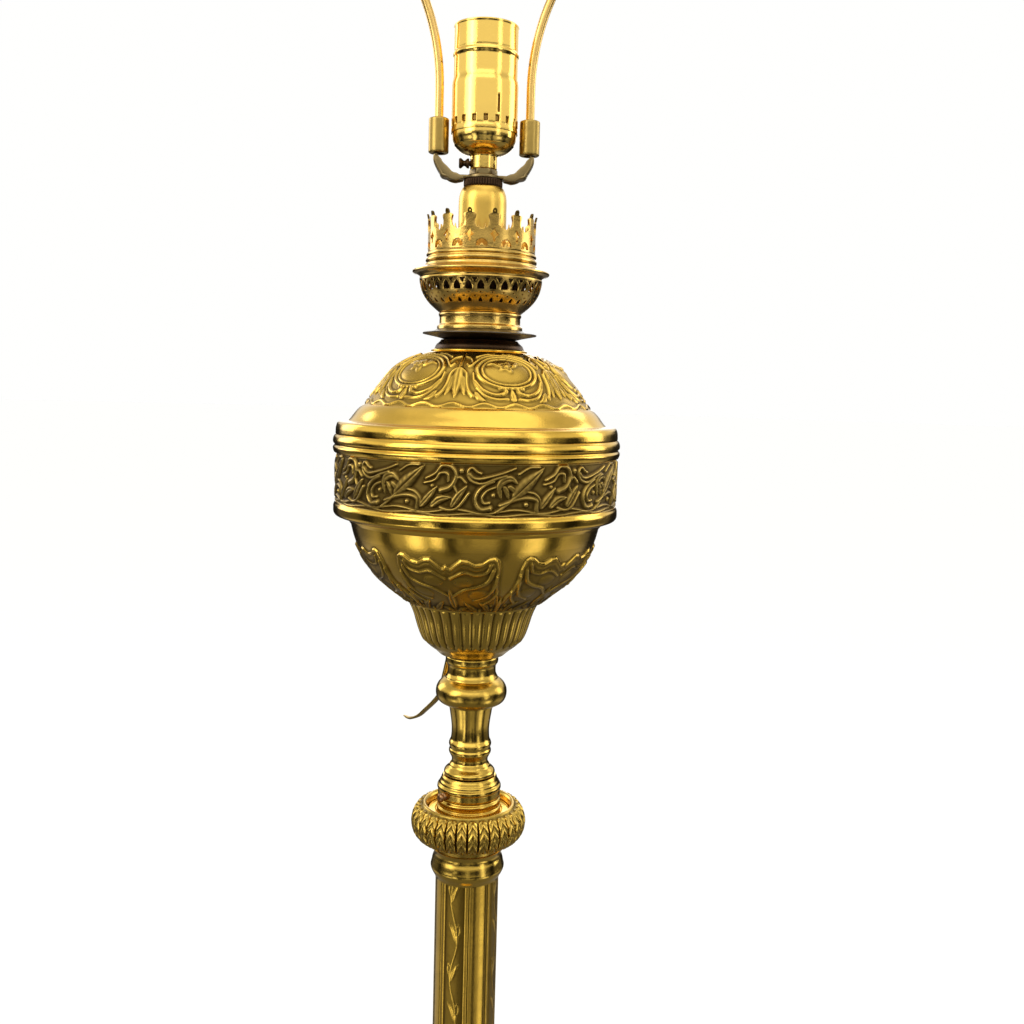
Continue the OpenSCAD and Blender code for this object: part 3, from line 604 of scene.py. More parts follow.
def column_foot():
    """Turned knop between the base and the column."""
    h = height("column_foot")
    c = COLUMN
    line = [(34, 0), (36, 3.5), (34, 7.5), (26, 10), (24, 14), (27, 19), (30, 24), (31, 28),
            (30, 32), (27, 37), (21.5, 41), (c + 2.4, h - 13), (c + 4, h - 9.5),
            (c + 2.4, h - 6), (c + 1.2, h - 4), (c + 1.2, h)]
    turned("column_foot", line, 6.55)


PANEL = 45                  # the column has eight panels of this many degrees
FIRST_BORDER = 0.5          # azimuth of one border between panels
VINE = 46.0                 # length of one repeat of the engraved vine


def column_angles():
    """Columns of the mesh, close together at the borders and the engraving."""
    out = []
    for k in range(8):
        start = FIRST_BORDER + PANEL * k
        out += [start + a for a in np.arange(-7, 7, 1.0)]
        engraved = k % 2 == 1
        out += list(start + np.linspace(7, PANEL - 7, 21 if engraved else 5,
                                        endpoint=False))
    return np.radians(np.array(out))


def column_relief(phi, run, r, z):
    """Reeded borders, and a vine engraved in every second panel."""
    a = np.degrees(phi)
    border = (a - FIRST_BORDER + PANEL / 2) % PANEL - PANEL / 2
    x = border * math.pi / 180 * COLUMN
    lift = np.zeros(np.broadcast(phi, z).shape)
    for at in (-1.35, 1.35):
        lift = lift - 0.42 * np.exp(-((x - at) / 0.34) ** 2)
    lift = lift + 0.16 * np.exp(-(x / 0.75) ** 4)
    panel = np.floor((a - FIRST_BORDER) / PANEL) % 2
    middle = (a - FIRST_BORDER) % PANEL - PANEL / 2
    u = middle * math.pi / 180 * COLUMN
    v = z % VINE
    deep = np.zeros_like(lift)
    for shift in (-VINE, 0, VINE):
        w = v + shift
        stem = 2.2 * np.sin(2 * math.pi * w / VINE)
        inside = (w >= 0) & (w < VINE)
        deep = np.maximum(deep, np.where(inside, 0.3 * np.exp(-((u - stem) / 0.38) ** 2), 0))
        for side in (1, -1):
            at = VINE * (0.25 if side == 1 else 0.75)
            leaf = blade(u, w, [(side * 1.8, at - 2), (-side * 0.6, at + 5),
                                (-side * 3.6, at + 9)], 1.5, 0.3, 4, 0.12)
            twig = strand(u, w, [(side * 2, at), (side * 3.6, at + 5), (side * 3.0, at + 9),
                                 (side * 1.9, at + 7)], 0.5, 0.35, 0.3)
            deep = np.maximum(deep, np.maximum(leaf, twig))
    on = (panel == 1) & (np.abs(u) < 5.3)
    ground = 0.10 * ((panel == 1) & (np.abs(u) < 5.1))
    lift = lift + np.where(on, deep, 0) - ground
    # Grooves are darkened by their depth: painted shade and tarnish. The engraved panels get a dark
    # ground under a brighter vine.
    tone = 1 - 0.85 * np.clip(-lift / 0.3, 0, 1)
    tone = np.where(on, np.minimum(tone, 0.35 + 0.65 * step_up(deep - 0.05, 0.22 - 0.05)), tone)
    ends = np.clip((z - 0.6) / 0.6, 0, 1)
    return lift * ends, tone


def column_tube():
    """The tube in two lengths that meet at half height."""
    z0, h = level("column_tube"), height("column_tube")
    seen = level("column_capital") - z0
    half = seen / 2
    angles = column_angles()
    r = COLUMN
    for name, foot in (("low", 0), ("high", half)):
        length = lathe("column_tube_fine_" + name, [(r, 0), (r, half)], r - 2.4, z0 + foot,
                       step=1.0, relief=column_relief, phi=angles)
        done(length, "column_tube", replaces=foot == 0)
    end = lathe("column_tube_fine_end", [(r, 0), (r, h - seen)], r - 2.4, z0 + seen, 96)
    done(end, "column_tube", replaces=False)


def column_capital():
    """Moulded ring at the top of the plain column."""
    k = height("column_capital") / 17
    shares = [(0.5, 0), (0.7, 1), (2.2, 3.4), (3.2, 6), (2.6, 8), (2.2, 10.4), (1.3, 12.8),
              (1.3, 14.6), (2.3, 17)]
    line = [(COLUMN + a, b * k) for a, b in shares]
    turned("column_capital", line, COLUMN + 0.05)


LOBES = 32                  # leaves around the ring


def leaf_relief(phi, run, r, z):
    """Overlapping acanthus lobes around the ring."""
    v = run / run[-1, 0]

    def draw(p):
        a = repeat(p, LOBES, 5.0) * LOBES / (2 * math.pi)
        edge = np.abs(a) * 2
        low = 0.30 + 0.05 * np.cos(2 * math.pi * edge)
        on = step_up(v - low, 0.04) * step_up(0.93 - 0.05 * edge ** 2 - v, 0.03)
        gap = step_up(0.94 - edge, 0.16)
        body = on * gap * (0.9 + 0.8 * np.sin(math.pi * np.clip((v - 0.28) / 0.66, 0, 1)))
        veins = 0.30 * np.cos(2 * math.pi * (edge * 1.2 + v * 7))
        rib = 0.35 * np.exp(-(edge / 0.15) ** 2)
        lift = body + (veins - rib) * on * gap
        lift = lift - 0.6 * step_up(v - 0.26, 0.04) * step_up(0.97 - v, 0.03)
        # Darker at the foot of the lobes and in the veins: painted shade and tarnish.
        return lift, relief_shade_and_tarnish(lift, 5, 4, 0.66, 0.9)
    return tiled(LOBES, phi, draw)


def leaf_ring():
    """Ring of cast leaves standing up around the seat of the dished disc."""
    h = height("leaf_ring") / 1.34
    k = radius("leaf_ring") / 31.8
    seat = level("dished_disc") - level("leaf_ring")
    shares = [(19.4, 0), (19.8, 0.16, 0.4), (23.6, 0.20), (27.4, 0.32), (29.8, 0.48),
              (31.0, 0.74), (30.3, 1.0), (28.4, 1.20), (26.2, 1.32), (24.5, 1.33)]
    line = [(p[0] * k, p[1] * h, *p[2:]) for p in shares]
    inner = [(23.6 * k, h * 1.22), (23.3 * k, seat), (COLUMN + 0.05, seat), (COLUMN + 0.05, 0)]
    turned("leaf_ring", line, 0, LOBES * 30, RELIEF_ANGLE, step=0.42, relief=leaf_relief,
           inner=inner)


def clamp():
    """Dished disc, stepped clamp collar with a beaded foot, and its two screws."""
    r = radius("dished_disc")
    disc = [(r - 1.5, 0), (r, 1, 0.8), (r - 0.2, 2, 0.3), (r - 1.6, 1.9), (ROD + 11.4, 1.5),
            (ROD + 10.2, 1.6), (ROD + 9.9, 2)]
    turned("dished_disc", disc, ROD + 1.2)
    r, h = ROD + 9.7, height("clamp_collar")

    def beading(phi, run, rr, z):
        on = step_up(z - 0.5, 0.4) * step_up(2.2 - z, 0.4)
        lift = -0.4 * on * (0.5 + 0.5 * np.cos(phi * 60))
        # The bead grooves are darkened by their depth: painted shade and tarnish.
        return lift, 1 + 1.6 * lift

    line = [(r - 0.6, 0), (r, 0.5, 0.3), (r, 2.4, 0.4), (r - 1.0, 3.0, 0.3), (r - 0.9, 4.0, 0.4),
            (r - 0.2, 4.6, 0.4), (r - 0.2, 6.6, 0.5), (r - 1.3, 7.3, 0.3), (r - 1.3, 8.2, 0.3),
            (r - 0.5, 9.0, 0.4), (r - 0.5, h - 7.6, 0.4), (r - 0.1, h - 7.0, 0.3),
            (r - 0.3, h - 5.4, 0.4), (r - 1.3, h - 4.6, 0.3), (r - 1.5, h - 3.4, 0.4),
            (r - 2.1, h - 2.6, 0.3), (r - 2.6, h - 0.9, 0.4), (r - 3.2, h)]
    turned("clamp_collar", line, ROD + 0.4, 480, 50, step=0.25, relief=beading)
    for angle, node_name in ((221, "clamp_screw_left"), (41, "clamp_screw_right")):
        z = middle(node_name)
        a = math.radians(angle)
        way = (math.cos(a), math.sin(a), 0)
        line = [(1.9, ROD + 1, 0.3), (1.9, r, 0.2), (2.0, r, 0.1), (2.3, r + 0.4, 0.3),
                (1.5, r + 1.1, 0.4), (1.6, r + 1.5, 0.3), (2.4, r + 2.1, 0.3),
                (2.4, r + 2.9, 0.4), (1.9, r + 3.4, 0.4), (1.2, r + 3.7, 0.3)]
        screw = turned_on(node_name + "_fine", line, (0, 0, z), way, 48)
        done(screw, node_name, angle=45)


# -------------------------------------------------------------- mast and stem
def rod():
    """The polished rod, with a fine groove near its lower end."""
    h = height("sliding_rod")
    line = [(ROD - 0.6, 0), (ROD, 0.6, 0.3), (ROD, 99, 0.2), (ROD - 0.25, 99.3, 0.2),
            (ROD - 0.25, 99.9, 0.2), (ROD, 100.2, 0.2), (ROD, h - 0.6, 0.3), (ROD - 0.6, h)]
    turned("sliding_rod", line, PIPE, 128)


def stem():
    """Turned stem between the clamp and the font."""
    bore = ROD + 0.05
    r = radius("stem_flange")
    line = [(r - 0.5, 0), (r, 0.5, 0.4), (r, 1.9, 0.4), (r - 0.6, 2.9, 0.6),
            (r - 2.7, 4.6, 0.8), (r - 3, height("stem_flange"))]
    turned("stem_flange", line, bore, 144)
    shares = [(2.9, 0), (1.9, 1.4, 0.6), (1.9, 3.4, 0.6), (2.8, 5.4, 0.8), (3.7, 7.2, 0.9),
              (3.5, 8.6, 0.5), (3.0, 9.3, 0.4), (3.3, 10.2, 0.4), (3.8, 11.6, 0.8),
              (3.3, 13.2, 0.7), (2.5, 14.6), (2.2, 20), (2.7, 25), (3.6, 30.5), (3.9, 33)]
    line = [(ROD + p[0], *p[1:]) for p in shares]
    turned("stem_taper", line, bore, 144)
    r, h = radius("stem_knop"), height("stem_knop")
    line = [(r - 6.6, 0), (r - 6.4, 0.9, 0.4), (r - 4, 1.6, 0.6), (r - 1.6, 3.0), (r - 0.3, 5.6),
            (r, 8.2), (r - 0.4, 10.8), (r - 1.8, 13.2), (r - 3.8, 14.8, 0.6), (r - 5.4, 15.6, 0.4),
            (r - 5.6, h)]
    turned("stem_knop", line, bore, 144)
    line = [(14.2, 0), (13.7, 0.8, 0.3), (13.2, 2.0, 0.5), (13.0, 4.0), (13.1, 6.0, 0.5),
            (13.6, 7.2, 0.4), (14.2, 8.0, 0.3), (14.4, 9.0, 0.4), (14.4, 11.0, 0.5),
            (13.8, 12.0, 0.3), (13.6, height("stem_neck"))]
    turned("stem_neck", line, bore, 144)


def hook():
    """Tapered strip hook behind the stem."""
    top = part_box("stem_hook")[1][2] / MM
    line = [(16.2, -0.4), (16.8, -3), (18.4, -7.5), (20.6, -15.2), (22.6, -21.8), (24.9, -28.6),
            (28.8, -33.2), (32.7, -36.9), (37.3, -40.9), (40.7, -43.9), (44.7, -46.4),
            (50, -48.3), (55.4, -48.0)]
    path = smooth_line(line, 60)
    share = np.linspace(0, 1, len(path))
    a = math.radians(135)
    out = np.array([math.cos(a), math.sin(a), 0])
    points = path[:, :1] * out + np.array([0, 0, 1]) * (path[:, 1:] + top)
    side = (-math.sin(a), math.cos(a), 0)
    wide = np.interp(share, [0, 0.1, 0.85, 0.97, 1], [2.0, 2.0, 1.8, 1.1, 0.3])
    thick = np.interp(share, [0, 0.5, 0.9, 1], [1.0, 0.95, 0.7, 0.25])
    piece = sweep("stem_hook_fine", points, wide, thick, side, 28, 4.0)
    done(piece, "stem_hook", angle=50)


# ------------------------------------------------------------------ font
# A table of strokes holds drawing functions with their points and sizes, in
# millimetres along (u) and across (v) the metal of one repeat.
REEDS = 36                  # reeds around the cup


def cup_relief(phi, run, r, z):
    """Tall reeds under a rim of small leaves."""
    v = z / height("fluted_cup")

    def draw(p):
        a = repeat(p, REEDS, 4.0) * REEDS / (2 * math.pi)
        edge = np.abs(a) * 2
        on = step_up(v - 0.22, 0.07) * step_up(0.97 - v, 0.03)
        reed = 1 - edge ** 2
        lift = 1.0 * on * (reed - 0.62)
        tip = np.exp(-((v - 0.30) / 0.03) ** 2)
        lift = lift - 0.4 * on * tip * edge
        # The hollows between the reeds are painted dark: painted shade and tarnish.
        tone = np.where(on > 0.05, 0.12 + 0.88 * step_up(reed - 0.05, 0.7 - 0.05), 1.0)
        return lift, np.clip(tone, 0.04, 1)
    return tiled(REEDS, phi, draw)


def fluted_cup():
    """Reeded cup that carries the font."""
    r, h = radius("fluted_cup"), height("fluted_cup")
    shares = [(0, 0), (0.15, 0.085), (0.32, 0.155), (0.46, 0.235), (0.565, 0.32),
              (0.655, 0.46), (0.73, 0.61), (0.80, 0.76), (0.915, 0.915), (1, 1)]
    line = [(between(17.8, r, a), b * h) for a, b in shares]
    inner = [(r - 5, h), (r - 12, h * 0.5), (17, h * 0.25), (PIPE, h * 0.15), (PIPE, 0)]
    turned("fluted_cup", line, PIPE, REEDS * 24, 70, step=0.5, relief=cup_relief, inner=inner)


BOWL_UNITS = 6
BOWL_SCALE = 50.0           # millimetres of drawing for one radian of azimuth
BOWL_STRETCH = 1.28         # height of the bowl ornament over its drawing
BOWL_PLAIN = 46.5           # run along the bowl where its ornament ends
BOWL_FOLDS = [
    (strand, [(8.2, 31.5), (9.6, 28), (14, 26.6), (19, 27.6), (25, 24.4)], 0.8, 0.7, 0.6),
    (strand, [(7.0, 29), (8.6, 23.5), (13, 20.5), (19, 18.5), (25.5, 13.5)], 0.9, 0.9, 0.65),
    (strand, [(5.0, 26), (6.0, 19), (9.0, 14.0), (14.5, 11.2)], 0.7, 1.0, 0.65),
    (strand, [(3.2, 17), (5.6, 11.5), (8.6, 8.5)], 0.6, 0.9, 0.6),
]
BOWL_FOOT = [
    (blade, [(0, 1), (0, 5), (0, 12)], 2.4, 1.5, 4, 0.4),
    (blade, [(5, 1.5), (7.5, 5.5), (12.2, 9.5)], 2.5, 1.5, 3, 0.35),
    (blade, [(12, 1.5), (16, 4.5), (20.5, 9.5)], 2.3, 1.4, 3, 0.35),
    (dome_bump, 3.4, 3.4, 1.5, 1.5),
    (dome_bump, 4.4, 6.6, 1.3, 1.4),
    (dome_bump, 10.8, 2.6, 1.5, 1.5),
    (dome_bump, 21.6, 3.6, 1.5, 1.5),
]
BOWL_GAP = [
    (blade, [(0, 4), (0.3, 10), (0, 19)], 2.6, 1.5, 4, 0.4),
    (blade, [(1.5, 1.0), (4.2, 3.6), (8, 4.6)], 1.9, 1.4, 3, 0.3),
]


def bowl_relief(phi, run, r, z):
    """Folded leaves with wavy tops, smooth panels between them, and berries."""
    v = run / BOWL_STRETCH

    def draw(p):
        a = repeat(p, BOWL_UNITS, 17.0)
        u = np.abs(a) * BOWL_SCALE
        half = math.pi / BOWL_UNITS * BOWL_SCALE
        w = half - u
        top = np.interp(u, [5, 7.2, 9, 11.5, 14.5, 17.5, 20, 23, 24.6, 26.2],
                        [33.2, 34.8, 34.4, 32.4, 31.8, 33.4, 33.6, 31.0, 29.6, 30.8])
        side = np.interp(v, [6, 10, 13, 17, 24, 29, 33, 35], [0.2, 0.6, 1.4, 2.9, 4.0, 4.0, 5.0, 7])
        inside = np.minimum((top - v) * 0.9, u - side)
        leaf = 0.75 * step_up(inside, 1.1) + 0.45 * np.exp(-((inside - 0.9) / 0.55) ** 2)
        leaf = leaf + 0.22 * np.exp(-((inside - 2.7) / 0.5) ** 2)
        folds = highest(BOWL_FOLDS, u, v)
        swell = 0.7 * np.sqrt(np.clip(1 - ((u - 12) / 5.5) ** 2 - ((v - 15) / 3.6) ** 2, 0, 1))
        swell = np.maximum(swell, 0.6 * np.sqrt(np.clip(
            1 - ((u - 19.5) / 4.5) ** 2 - ((v - 22.6) / 2.6) ** 2, 0, 1)))
        raised = leaf + np.maximum(folds, 0.6 * swell)
        small = np.maximum(highest(BOWL_FOOT, u, v), highest(BOWL_GAP, w, v))
        lift = np.maximum(raised, small) * step_up(v - 0.6, 0.9)
        # Darker on the leaves than on the smooth panels, with painted shade towards the foot where
        # the bowl turns under above the cup and painted shade and tarnish in the crevices.
        ground = 0.88 - 0.42 * step_up(inside, 1.0) - 0.25 * step_up(9 - v, 4)
        tone = relief_shade_and_tarnish(lift, 6, 3, ground, 1.15)
        return lift, np.maximum(tone, step_up(v - 35.6, 0.8))
    return tiled(BOWL_UNITS, phi, draw)


def font_bowl():
    """The lower bowl of the font: ornament below, a plain band above."""
    h = height("font_bowl")
    c = radius("fluted_cup")
    r = FONT - 7.8
    shares = [(0, 0), (0.15, 0.095), (0.36, 0.215), (0.60, 0.37), (0.745, 0.525),
              (0.87, 0.69), (0.945, 0.83), (1, 1)]
    line = [(between(c, r, a), b * h) for a, b in shares]
    low, high = split_line(line, BOWL_PLAIN, 0.52)
    z0 = level("font_bowl")
    last = low[-1]
    back = [(last[0] - 2.1, last[1])]
    back += [(a - 2.1, b) for a, b in line[::-1] if 1 < b < last[1] - 1]
    back += [(c - 5, 1.6), (PIPE, 1.6), (PIPE, 0)]
    turned("font_bowl", low, PIPE, BOWL_UNITS * 176, RELIEF_ANGLE, relief=bowl_relief,
           inner=back)
    back = [(high[-1][0] - 2.1, high[-1][1]), (last[0] - 2.1, last[1])]
    done(lathe("font_bowl_fine_top", high, 0, z0, 256, inner=back), "font_bowl",
         replaces=False)


def font_rim():
    """Bright rim between the bowl and the frieze."""
    r, h = FONT, height("font_rim")
    line = [(r - 7.3, 0), (r - 6.6, 1.2, 0.5), (r - 6.2, 2.2, 0.4), (r - 2.8, 3.0, 0.8),
            (r + 0.5, 4.2, 0.8), (r + 1.3, 5.6, 0.8), (r + 1.3, 9.2, 0.9), (r + 0.6, 10.4, 0.5),
            (r + 0.4, h)]
    turned("font_rim", line, r - 11, 256)


FRIEZE_UNITS = 8
FRIEZE_START = -3.2         # azimuth where one repeat of the frieze starts
FRIEZE_DRAWN = 66.7         # length of one repeat as it is drawn
FRIEZE = [
    (strand, [(1.4, 20.4), (3.4, 18.8), (6.6, 18.4), (12, 19.4), (19, 21.2), (26, 23.6)], 1.3,
     0.8, 0.95, 0.25),
    (strand, [(7.4, 21.0), (5.2, 21.8), (2.6, 23.6), (0.6, 22.4), (0.2, 19.8), (2.6, 17.2),
     (8, 16.2), (15, 18.4), (21, 20.0)], 0.8, 0.9, 1.0),
    (strand, [(14.6, 17.4), (9.5, 15.4), (5.6, 12.0), (4.6, 7.4), (7.6, 4.0), (12.5, 4.6)], 0.9,
     1.7, 1.1, 0.25),
    (strand, [(15, 14.6), (10.5, 12.8), (8.0, 9.6), (9.0, 7.0), (12.0, 7.2)], 0.7, 0.9, 0.9),
    (blade, [(16.5, 12.6), (18.6, 17.0), (23.6, 18.6), (28, 15.8)], 2.4, 1.1, 4, 0.3),
    (blade, [(17, 15), (17.6, 12.4), (18.6, 9.0)], 1.7, 1.05, 3, 0.25),
    (blade, [(19.4, 15.2), (21.4, 12.4), (22.8, 8.8)], 1.7, 1.05, 3, 0.25),
    (blade, [(22, 15.2), (25, 13.4), (26.6, 10.4)], 1.6, 1.0, 3, 0.25),
    (blade, [(24.5, 9.4), (32.5, 15.8), (43.0, 24.0)], 4.0, 1.1, 7, 0.4),
    (strand, [(15.5, 2.8), (20, 5.4), (25.6, 9.6)], 0.8, 1.0, 1.0),
    (strand, [(18, 6), (26, 8.6), (33, 9.6), (38.6, 8.2), (38.8, 3.4)], 1.0, 1.7, 1.05, 0.25),
    (strand, [(33, 12.4), (37.2, 11.6), (40.6, 8.6), (40.8, 5.0)], 0.7, 0.8, 0.9),
    (blade, [(40.5, 4.2), (45.4, 9.2), (50.5, 14.6)], 2.3, 1.1, 4),
    (blade, [(46.5, 4.6), (52, 8.4), (58.5, 9.4)], 2.4, 1.1, 4),
    (strand, [(44.0, 18.0), (49.5, 20.6), (53, 24.2), (58.4, 23.6), (60.6, 19.4), (57.6, 14.4),
     (52.2, 12.4)], 0.9, 1.7, 1.1, 0.25),
    (strand, [(43.0, 15.8), (49, 17.4), (52, 20.6), (55.8, 20.6), (56.4, 17.2)], 0.7, 1.0, 0.9),
    (blade, [(58.0, 4.6), (61.6, 9.6), (66.6, 15.2)], 2.5, 1.1, 5),
    (strand, [(52, 4.5), (57, 3.4), (62, 5.0), (67.5, 11.4)], 0.8, 1.0, 1.0),
    (strand, [(61.4, 11.2), (59.6, 15.6), (62.4, 19.0), (66.0, 16.6)], 0.7, 0.9, 0.95),
    (strand, [(28, 20.8), (34, 23.9), (40, 24.2)], 0.6, 0.8, 0.8),
    (dome_bump, 32.6, 6.4, 1.3, 1.0),
    (dome_bump, 63.6, 22.0, 1.5, 1.0),
    (dome_bump, 14.2, 10.8, 1.2, 0.9),
    (dome_bump, 47.4, 14.6, 1.1, 0.9),
]


def frieze_relief(phi, run, r, z):
    """Running scroll of leaves, flowers and ribbons on a dark ground."""
    v = z
    span = 2 * math.pi / FRIEZE_UNITS
    length = FRIEZE_DRAWN

    def draw(p):
        base_u = ((p - math.radians(FRIEZE_START)) % span) * length / span
        best = None
        for shift in (-length, 0, length):
            u = base_u + shift
            now = highest(FRIEZE, u, v)
            best = now if best is None else np.maximum(best, now)
        wave = 2 * math.pi * base_u / length
        for at, swing, wide, lift_ in ((1.3, 0.5, 0.7, 0.8), (2.9, 0.9, 0.7, 0.8)):
            off = (v - at - swing * np.sin(2 * wave + at)) / wide
            best = np.maximum(best, lift_ * np.clip(1 - off ** 2, 0, 1))
        on = step_up(25.2 - v, 0.5) * step_up(v, 0.5)
        lift = 1.15 * best * on
        # The sunk ground is painted dark beside the scroll: painted shade and tarnish.
        tone = relief_shade_and_tarnish(lift, 5, 4, 0.20, 0.80)
        return lift - 0.35 * on, tone * on + (1 - on)
    return tiled(FRIEZE_UNITS, phi, draw)


def font_band():
    """Frieze band under two mouldings."""
    r, h, z0 = FONT, height("font_band"), level("font_band")
    wall = h - 9.7
    turned("font_band", [(r, 0), (r, wall)], r - 3, FRIEZE_UNITS * 156, RELIEF_ANGLE,
           step=0.34, relief=frieze_relief)
    line = [(r, wall), (r + 1.1, h - 9.2, 0.4), (r + 1.7, h - 7.6, 0.9),
            (r + 1.7, h - 6.4, 0.5), (r + 0.8, h - 5.4, 0.3), (r + 0.8, h - 5.0, 0.3),
            (r + 1.7, h - 4.0, 0.5), (r + 1.7, h - 2.4, 0.8), (r + 1.2, h - 0.9, 0.5),
            (r + 0.4, h)]
    done(lathe("font_band_fine_mouldings", line, r - 3, z0, 256), "font_band",
         slot_name="brass_bright", replaces=False)


DOME_UNITS = 6
DOME_SCALE = 46.0           # millimetres of drawing for one radian of azimuth
MEDALLION = [
    (strand, [(16.2, 17), (12.5, 11.6), (7.6, 8.8), (3.6, 9.8), (2.8, 12.2), (4.8, 12.6)], 1.0,
     1.3, 1.0, 0.25),
    (strand, [(15.2, 12.8), (11.5, 8.0), (7.0, 6.0), (2.5, 6.2)], 0.6, 0.9, 0.8),
    (strand, [(0, 38.4), (8, 37.2), (14, 33.6), (17.4, 28.6)], 1.1, 0.8, 0.95),
    (strand, [(3, 40.4), (9.5, 39.6), (16, 35.8)], 0.7, 0.7, 0.8),
    (blade, [(0, 4.5), (0, 8), (0, 12.5)], 1.6, 0.9, 3, 0.3),
]
BELL_FLOWER = [
    (strand, [(0, 40), (0, 32), (0, 24)], 0.6, 1.1, 1.0),
    (blade, [(0, 25.5), (0, 17), (0, 6.5)], 3.0, 1.1, 4, 0.3),
    (strand, [(0.8, 25), (3.6, 21.6), (4.3, 15.5), (5.4, 11), (7.4, 7.6)], 1.0, 1.1, 1.0, 0.25),
    (blade, [(2.4, 20), (2.9, 13.6), (4.1, 7.8)], 1.5, 0.9, 3, 0.2),
    (strand, [(1.5, 36), (5.2, 33.5), (6.6, 29), (5.0, 26.6), (3.6, 28.4)], 0.8, 0.9, 0.9),
    (strand, [(7.0, 22), (7.6, 16.5), (9.6, 12.0)], 0.6, 0.8, 0.8),
    (blade, [(8.2, 10.5), (10.2, 6.5), (13, 4.6)], 1.4, 0.9, 3, 0.3),
]


def dome_relief(phi, run, r, z):
    """Oval medallions with a rosette, and a bell flower between each two."""
    v = run + 0.3

    def draw(p):
        a = repeat(p, DOME_UNITS, 18.0)
        us = a * DOME_SCALE
        u = np.abs(us)
        w = math.pi / DOME_UNITS * DOME_SCALE - u
        far = np.sqrt((u / 15.4) ** 2 + ((v - 24.3) / 11.5) ** 2)
        frame_ = 1.0 * np.clip(1 - ((far - 1) / 0.085) ** 2, 0, 1)
        inner_ = 0.75 * np.clip(1 - ((far - 0.83) / 0.055) ** 2, 0, 1)
        field = 0.75 * np.sqrt(np.clip(1 - (far / 0.76) ** 2, 0, 1))
        turn = np.arctan2(v - 26.5, us)
        petal = np.hypot(us, (v - 26.5)) / (4.6 * (1 + 0.26 * np.cos(5 * turn)))
        rose = field + 0.75 * np.clip(1 - petal ** 2.5, 0, 1)
        rose = rose - 0.5 * np.exp(-((petal - 0.42) / 0.14) ** 2)
        sprig = blade(u, v, [(3.0, 25.5), (6.5, 29.0), (10.2, 28.0)], 1.6, 0.7, 3, 0.2)
        rose = np.where(far < 0.76, rose + sprig, 0)
        wave = 2.2 + 1.1 * np.cos(a * DOME_UNITS * 4)
        parts = [
            frame_, inner_, rose, highest(MEDALLION, u, v), highest(BELL_FLOWER, w, v),
            0.7 * np.clip(1 - ((v - wave) / 0.9) ** 2, 0, 1),
        ]
        on = step_up(v - 0.3, 0.8) * step_up(43.2 - v, 0.9)
        lift = np.maximum.reduce(parts) * on
        # Darker at the foot of the ornament: painted shade and tarnish.
        tone = relief_shade_and_tarnish(lift, 5, 3, 0.56, 1.25)
        return lift - 0.25 * on, tone * on + (1 - on)
    return tiled(DOME_UNITS, phi, draw)


def font_dome():
    """Domed shoulder: polished below, ornamented above."""
    h, z0 = height("font_dome"), level("font_dome")
    foot = FONT + 0.4
    low = [(foot - 0.2, 0), (foot, 0.5, 0.3), (foot - 0.1, 3.6, 0.8), (foot - 0.9, 6.2, 0.8),
           (foot - 3.5, 6.9, 0.6), (foot - 6.6, 7.2, 0.5), (foot - 8.2, 9.0, 1.5),
           (foot - 10.6, 12.4), (foot - 13.0, 14.8), (foot - 14.9, 15.9)]
    start = low[-1]
    high = [start, (foot - 16.4, 18.2), (foot - 19.4, 22), (foot - 23.6, 27.4),
            (foot - 28.6, 34.0), (foot - 34, 38.2), (foot - 39.8, 41.2), (foot - 45, 43.0),
            (27, h)]
    back = [(p[0] - 2.4, max(p[1] - 1.5, 0)) for p in low[::-1]]
    shoulder = lathe("font_dome_fine_shoulder", low, 0, z0, 256, step=0.5, inner=back)
    done(shoulder, "font_dome", slot_name="brass_bright", replaces=False)
    line = evenly(rounded(high), 0.5)
    back = [(24, h), (24, h - 2)] + [(p[0] - 2.4, p[1] - 1.5) for p in high[-2::-1]]
    turned("font_dome", line, 0, DOME_UNITS * 168, RELIEF_ANGLE, relief=dome_relief,
           inner=back)


# ------------------------------------------------------------------ burner
def pierced(name, outline, holes, thickness, cuts_u, cuts_v, bend, edge, tone=None):
    """A flat plate with holes, drawn in millimetres, cut into strips and bent."""
    curve = bpy.data.curves.new(name, "CURVE")
    curve.dimensions = "2D"
    curve.fill_mode = "BOTH"
    curve.extrude = thickness / 2 - edge
    curve.bevel_depth = edge
    curve.bevel_resolution = 1
    curve.offset = -edge
    for loop in [outline] + holes:
        spline = curve.splines.new("POLY")
        spline.points.add(len(loop) - 1)
        for point, (u, v) in zip(spline.points, loop):
            point.co = (u, v, 0, 1)
        spline.use_cyclic_u = True
    flat = placed(name, curve)
    bpy.context.view_layer.update()
    mesh = bpy.data.meshes.new_from_object(
        flat.evaluated_get(bpy.context.evaluated_depsgraph_get()))
    bpy.data.objects.remove(flat)
    work = bmesh.new()
    work.from_mesh(mesh)
    bmesh.ops.remove_doubles(work, verts=work.verts, dist=1e-4)
    for axis, places in (((1, 0, 0), cuts_u), ((0, 1, 0), cuts_v)):
        for place in places:
            bmesh.ops.bisect_plane(work, geom=work.verts[:] + work.edges[:] + work.faces[:],
                                   plane_co=tuple(place * a for a in axis), plane_no=axis,
                                   dist=1e-5)
    tones = []
    for v in work.verts:
        u_, v_, n_ = v.co
        tones.append(1.0 if tone is None else tone(u_, v_, n_))
        v.co = Vector(bend(u_, v_, n_)) * MM
    bmesh.ops.recalc_face_normals(work, faces=work.faces)
    work.to_mesh(mesh)
    work.free()
    paint(mesh, tones)
    return placed(name, mesh)


def ring_of(points, count, pitch):
    """The same points once for each repeat along a strip, from left to right."""
    return [[(u + pitch * (k + 0.5) - pitch * count / 2, v) for u, v in points]
            for k in range(count)]


def arc_points(cu, cv, r, a0, a1, count=10):
    """Points on an arc, in degrees."""
    return [(cu + r * math.cos(math.radians(a)), cv + r * math.sin(math.radians(a)))
            for a in np.linspace(a0, a1, count)]


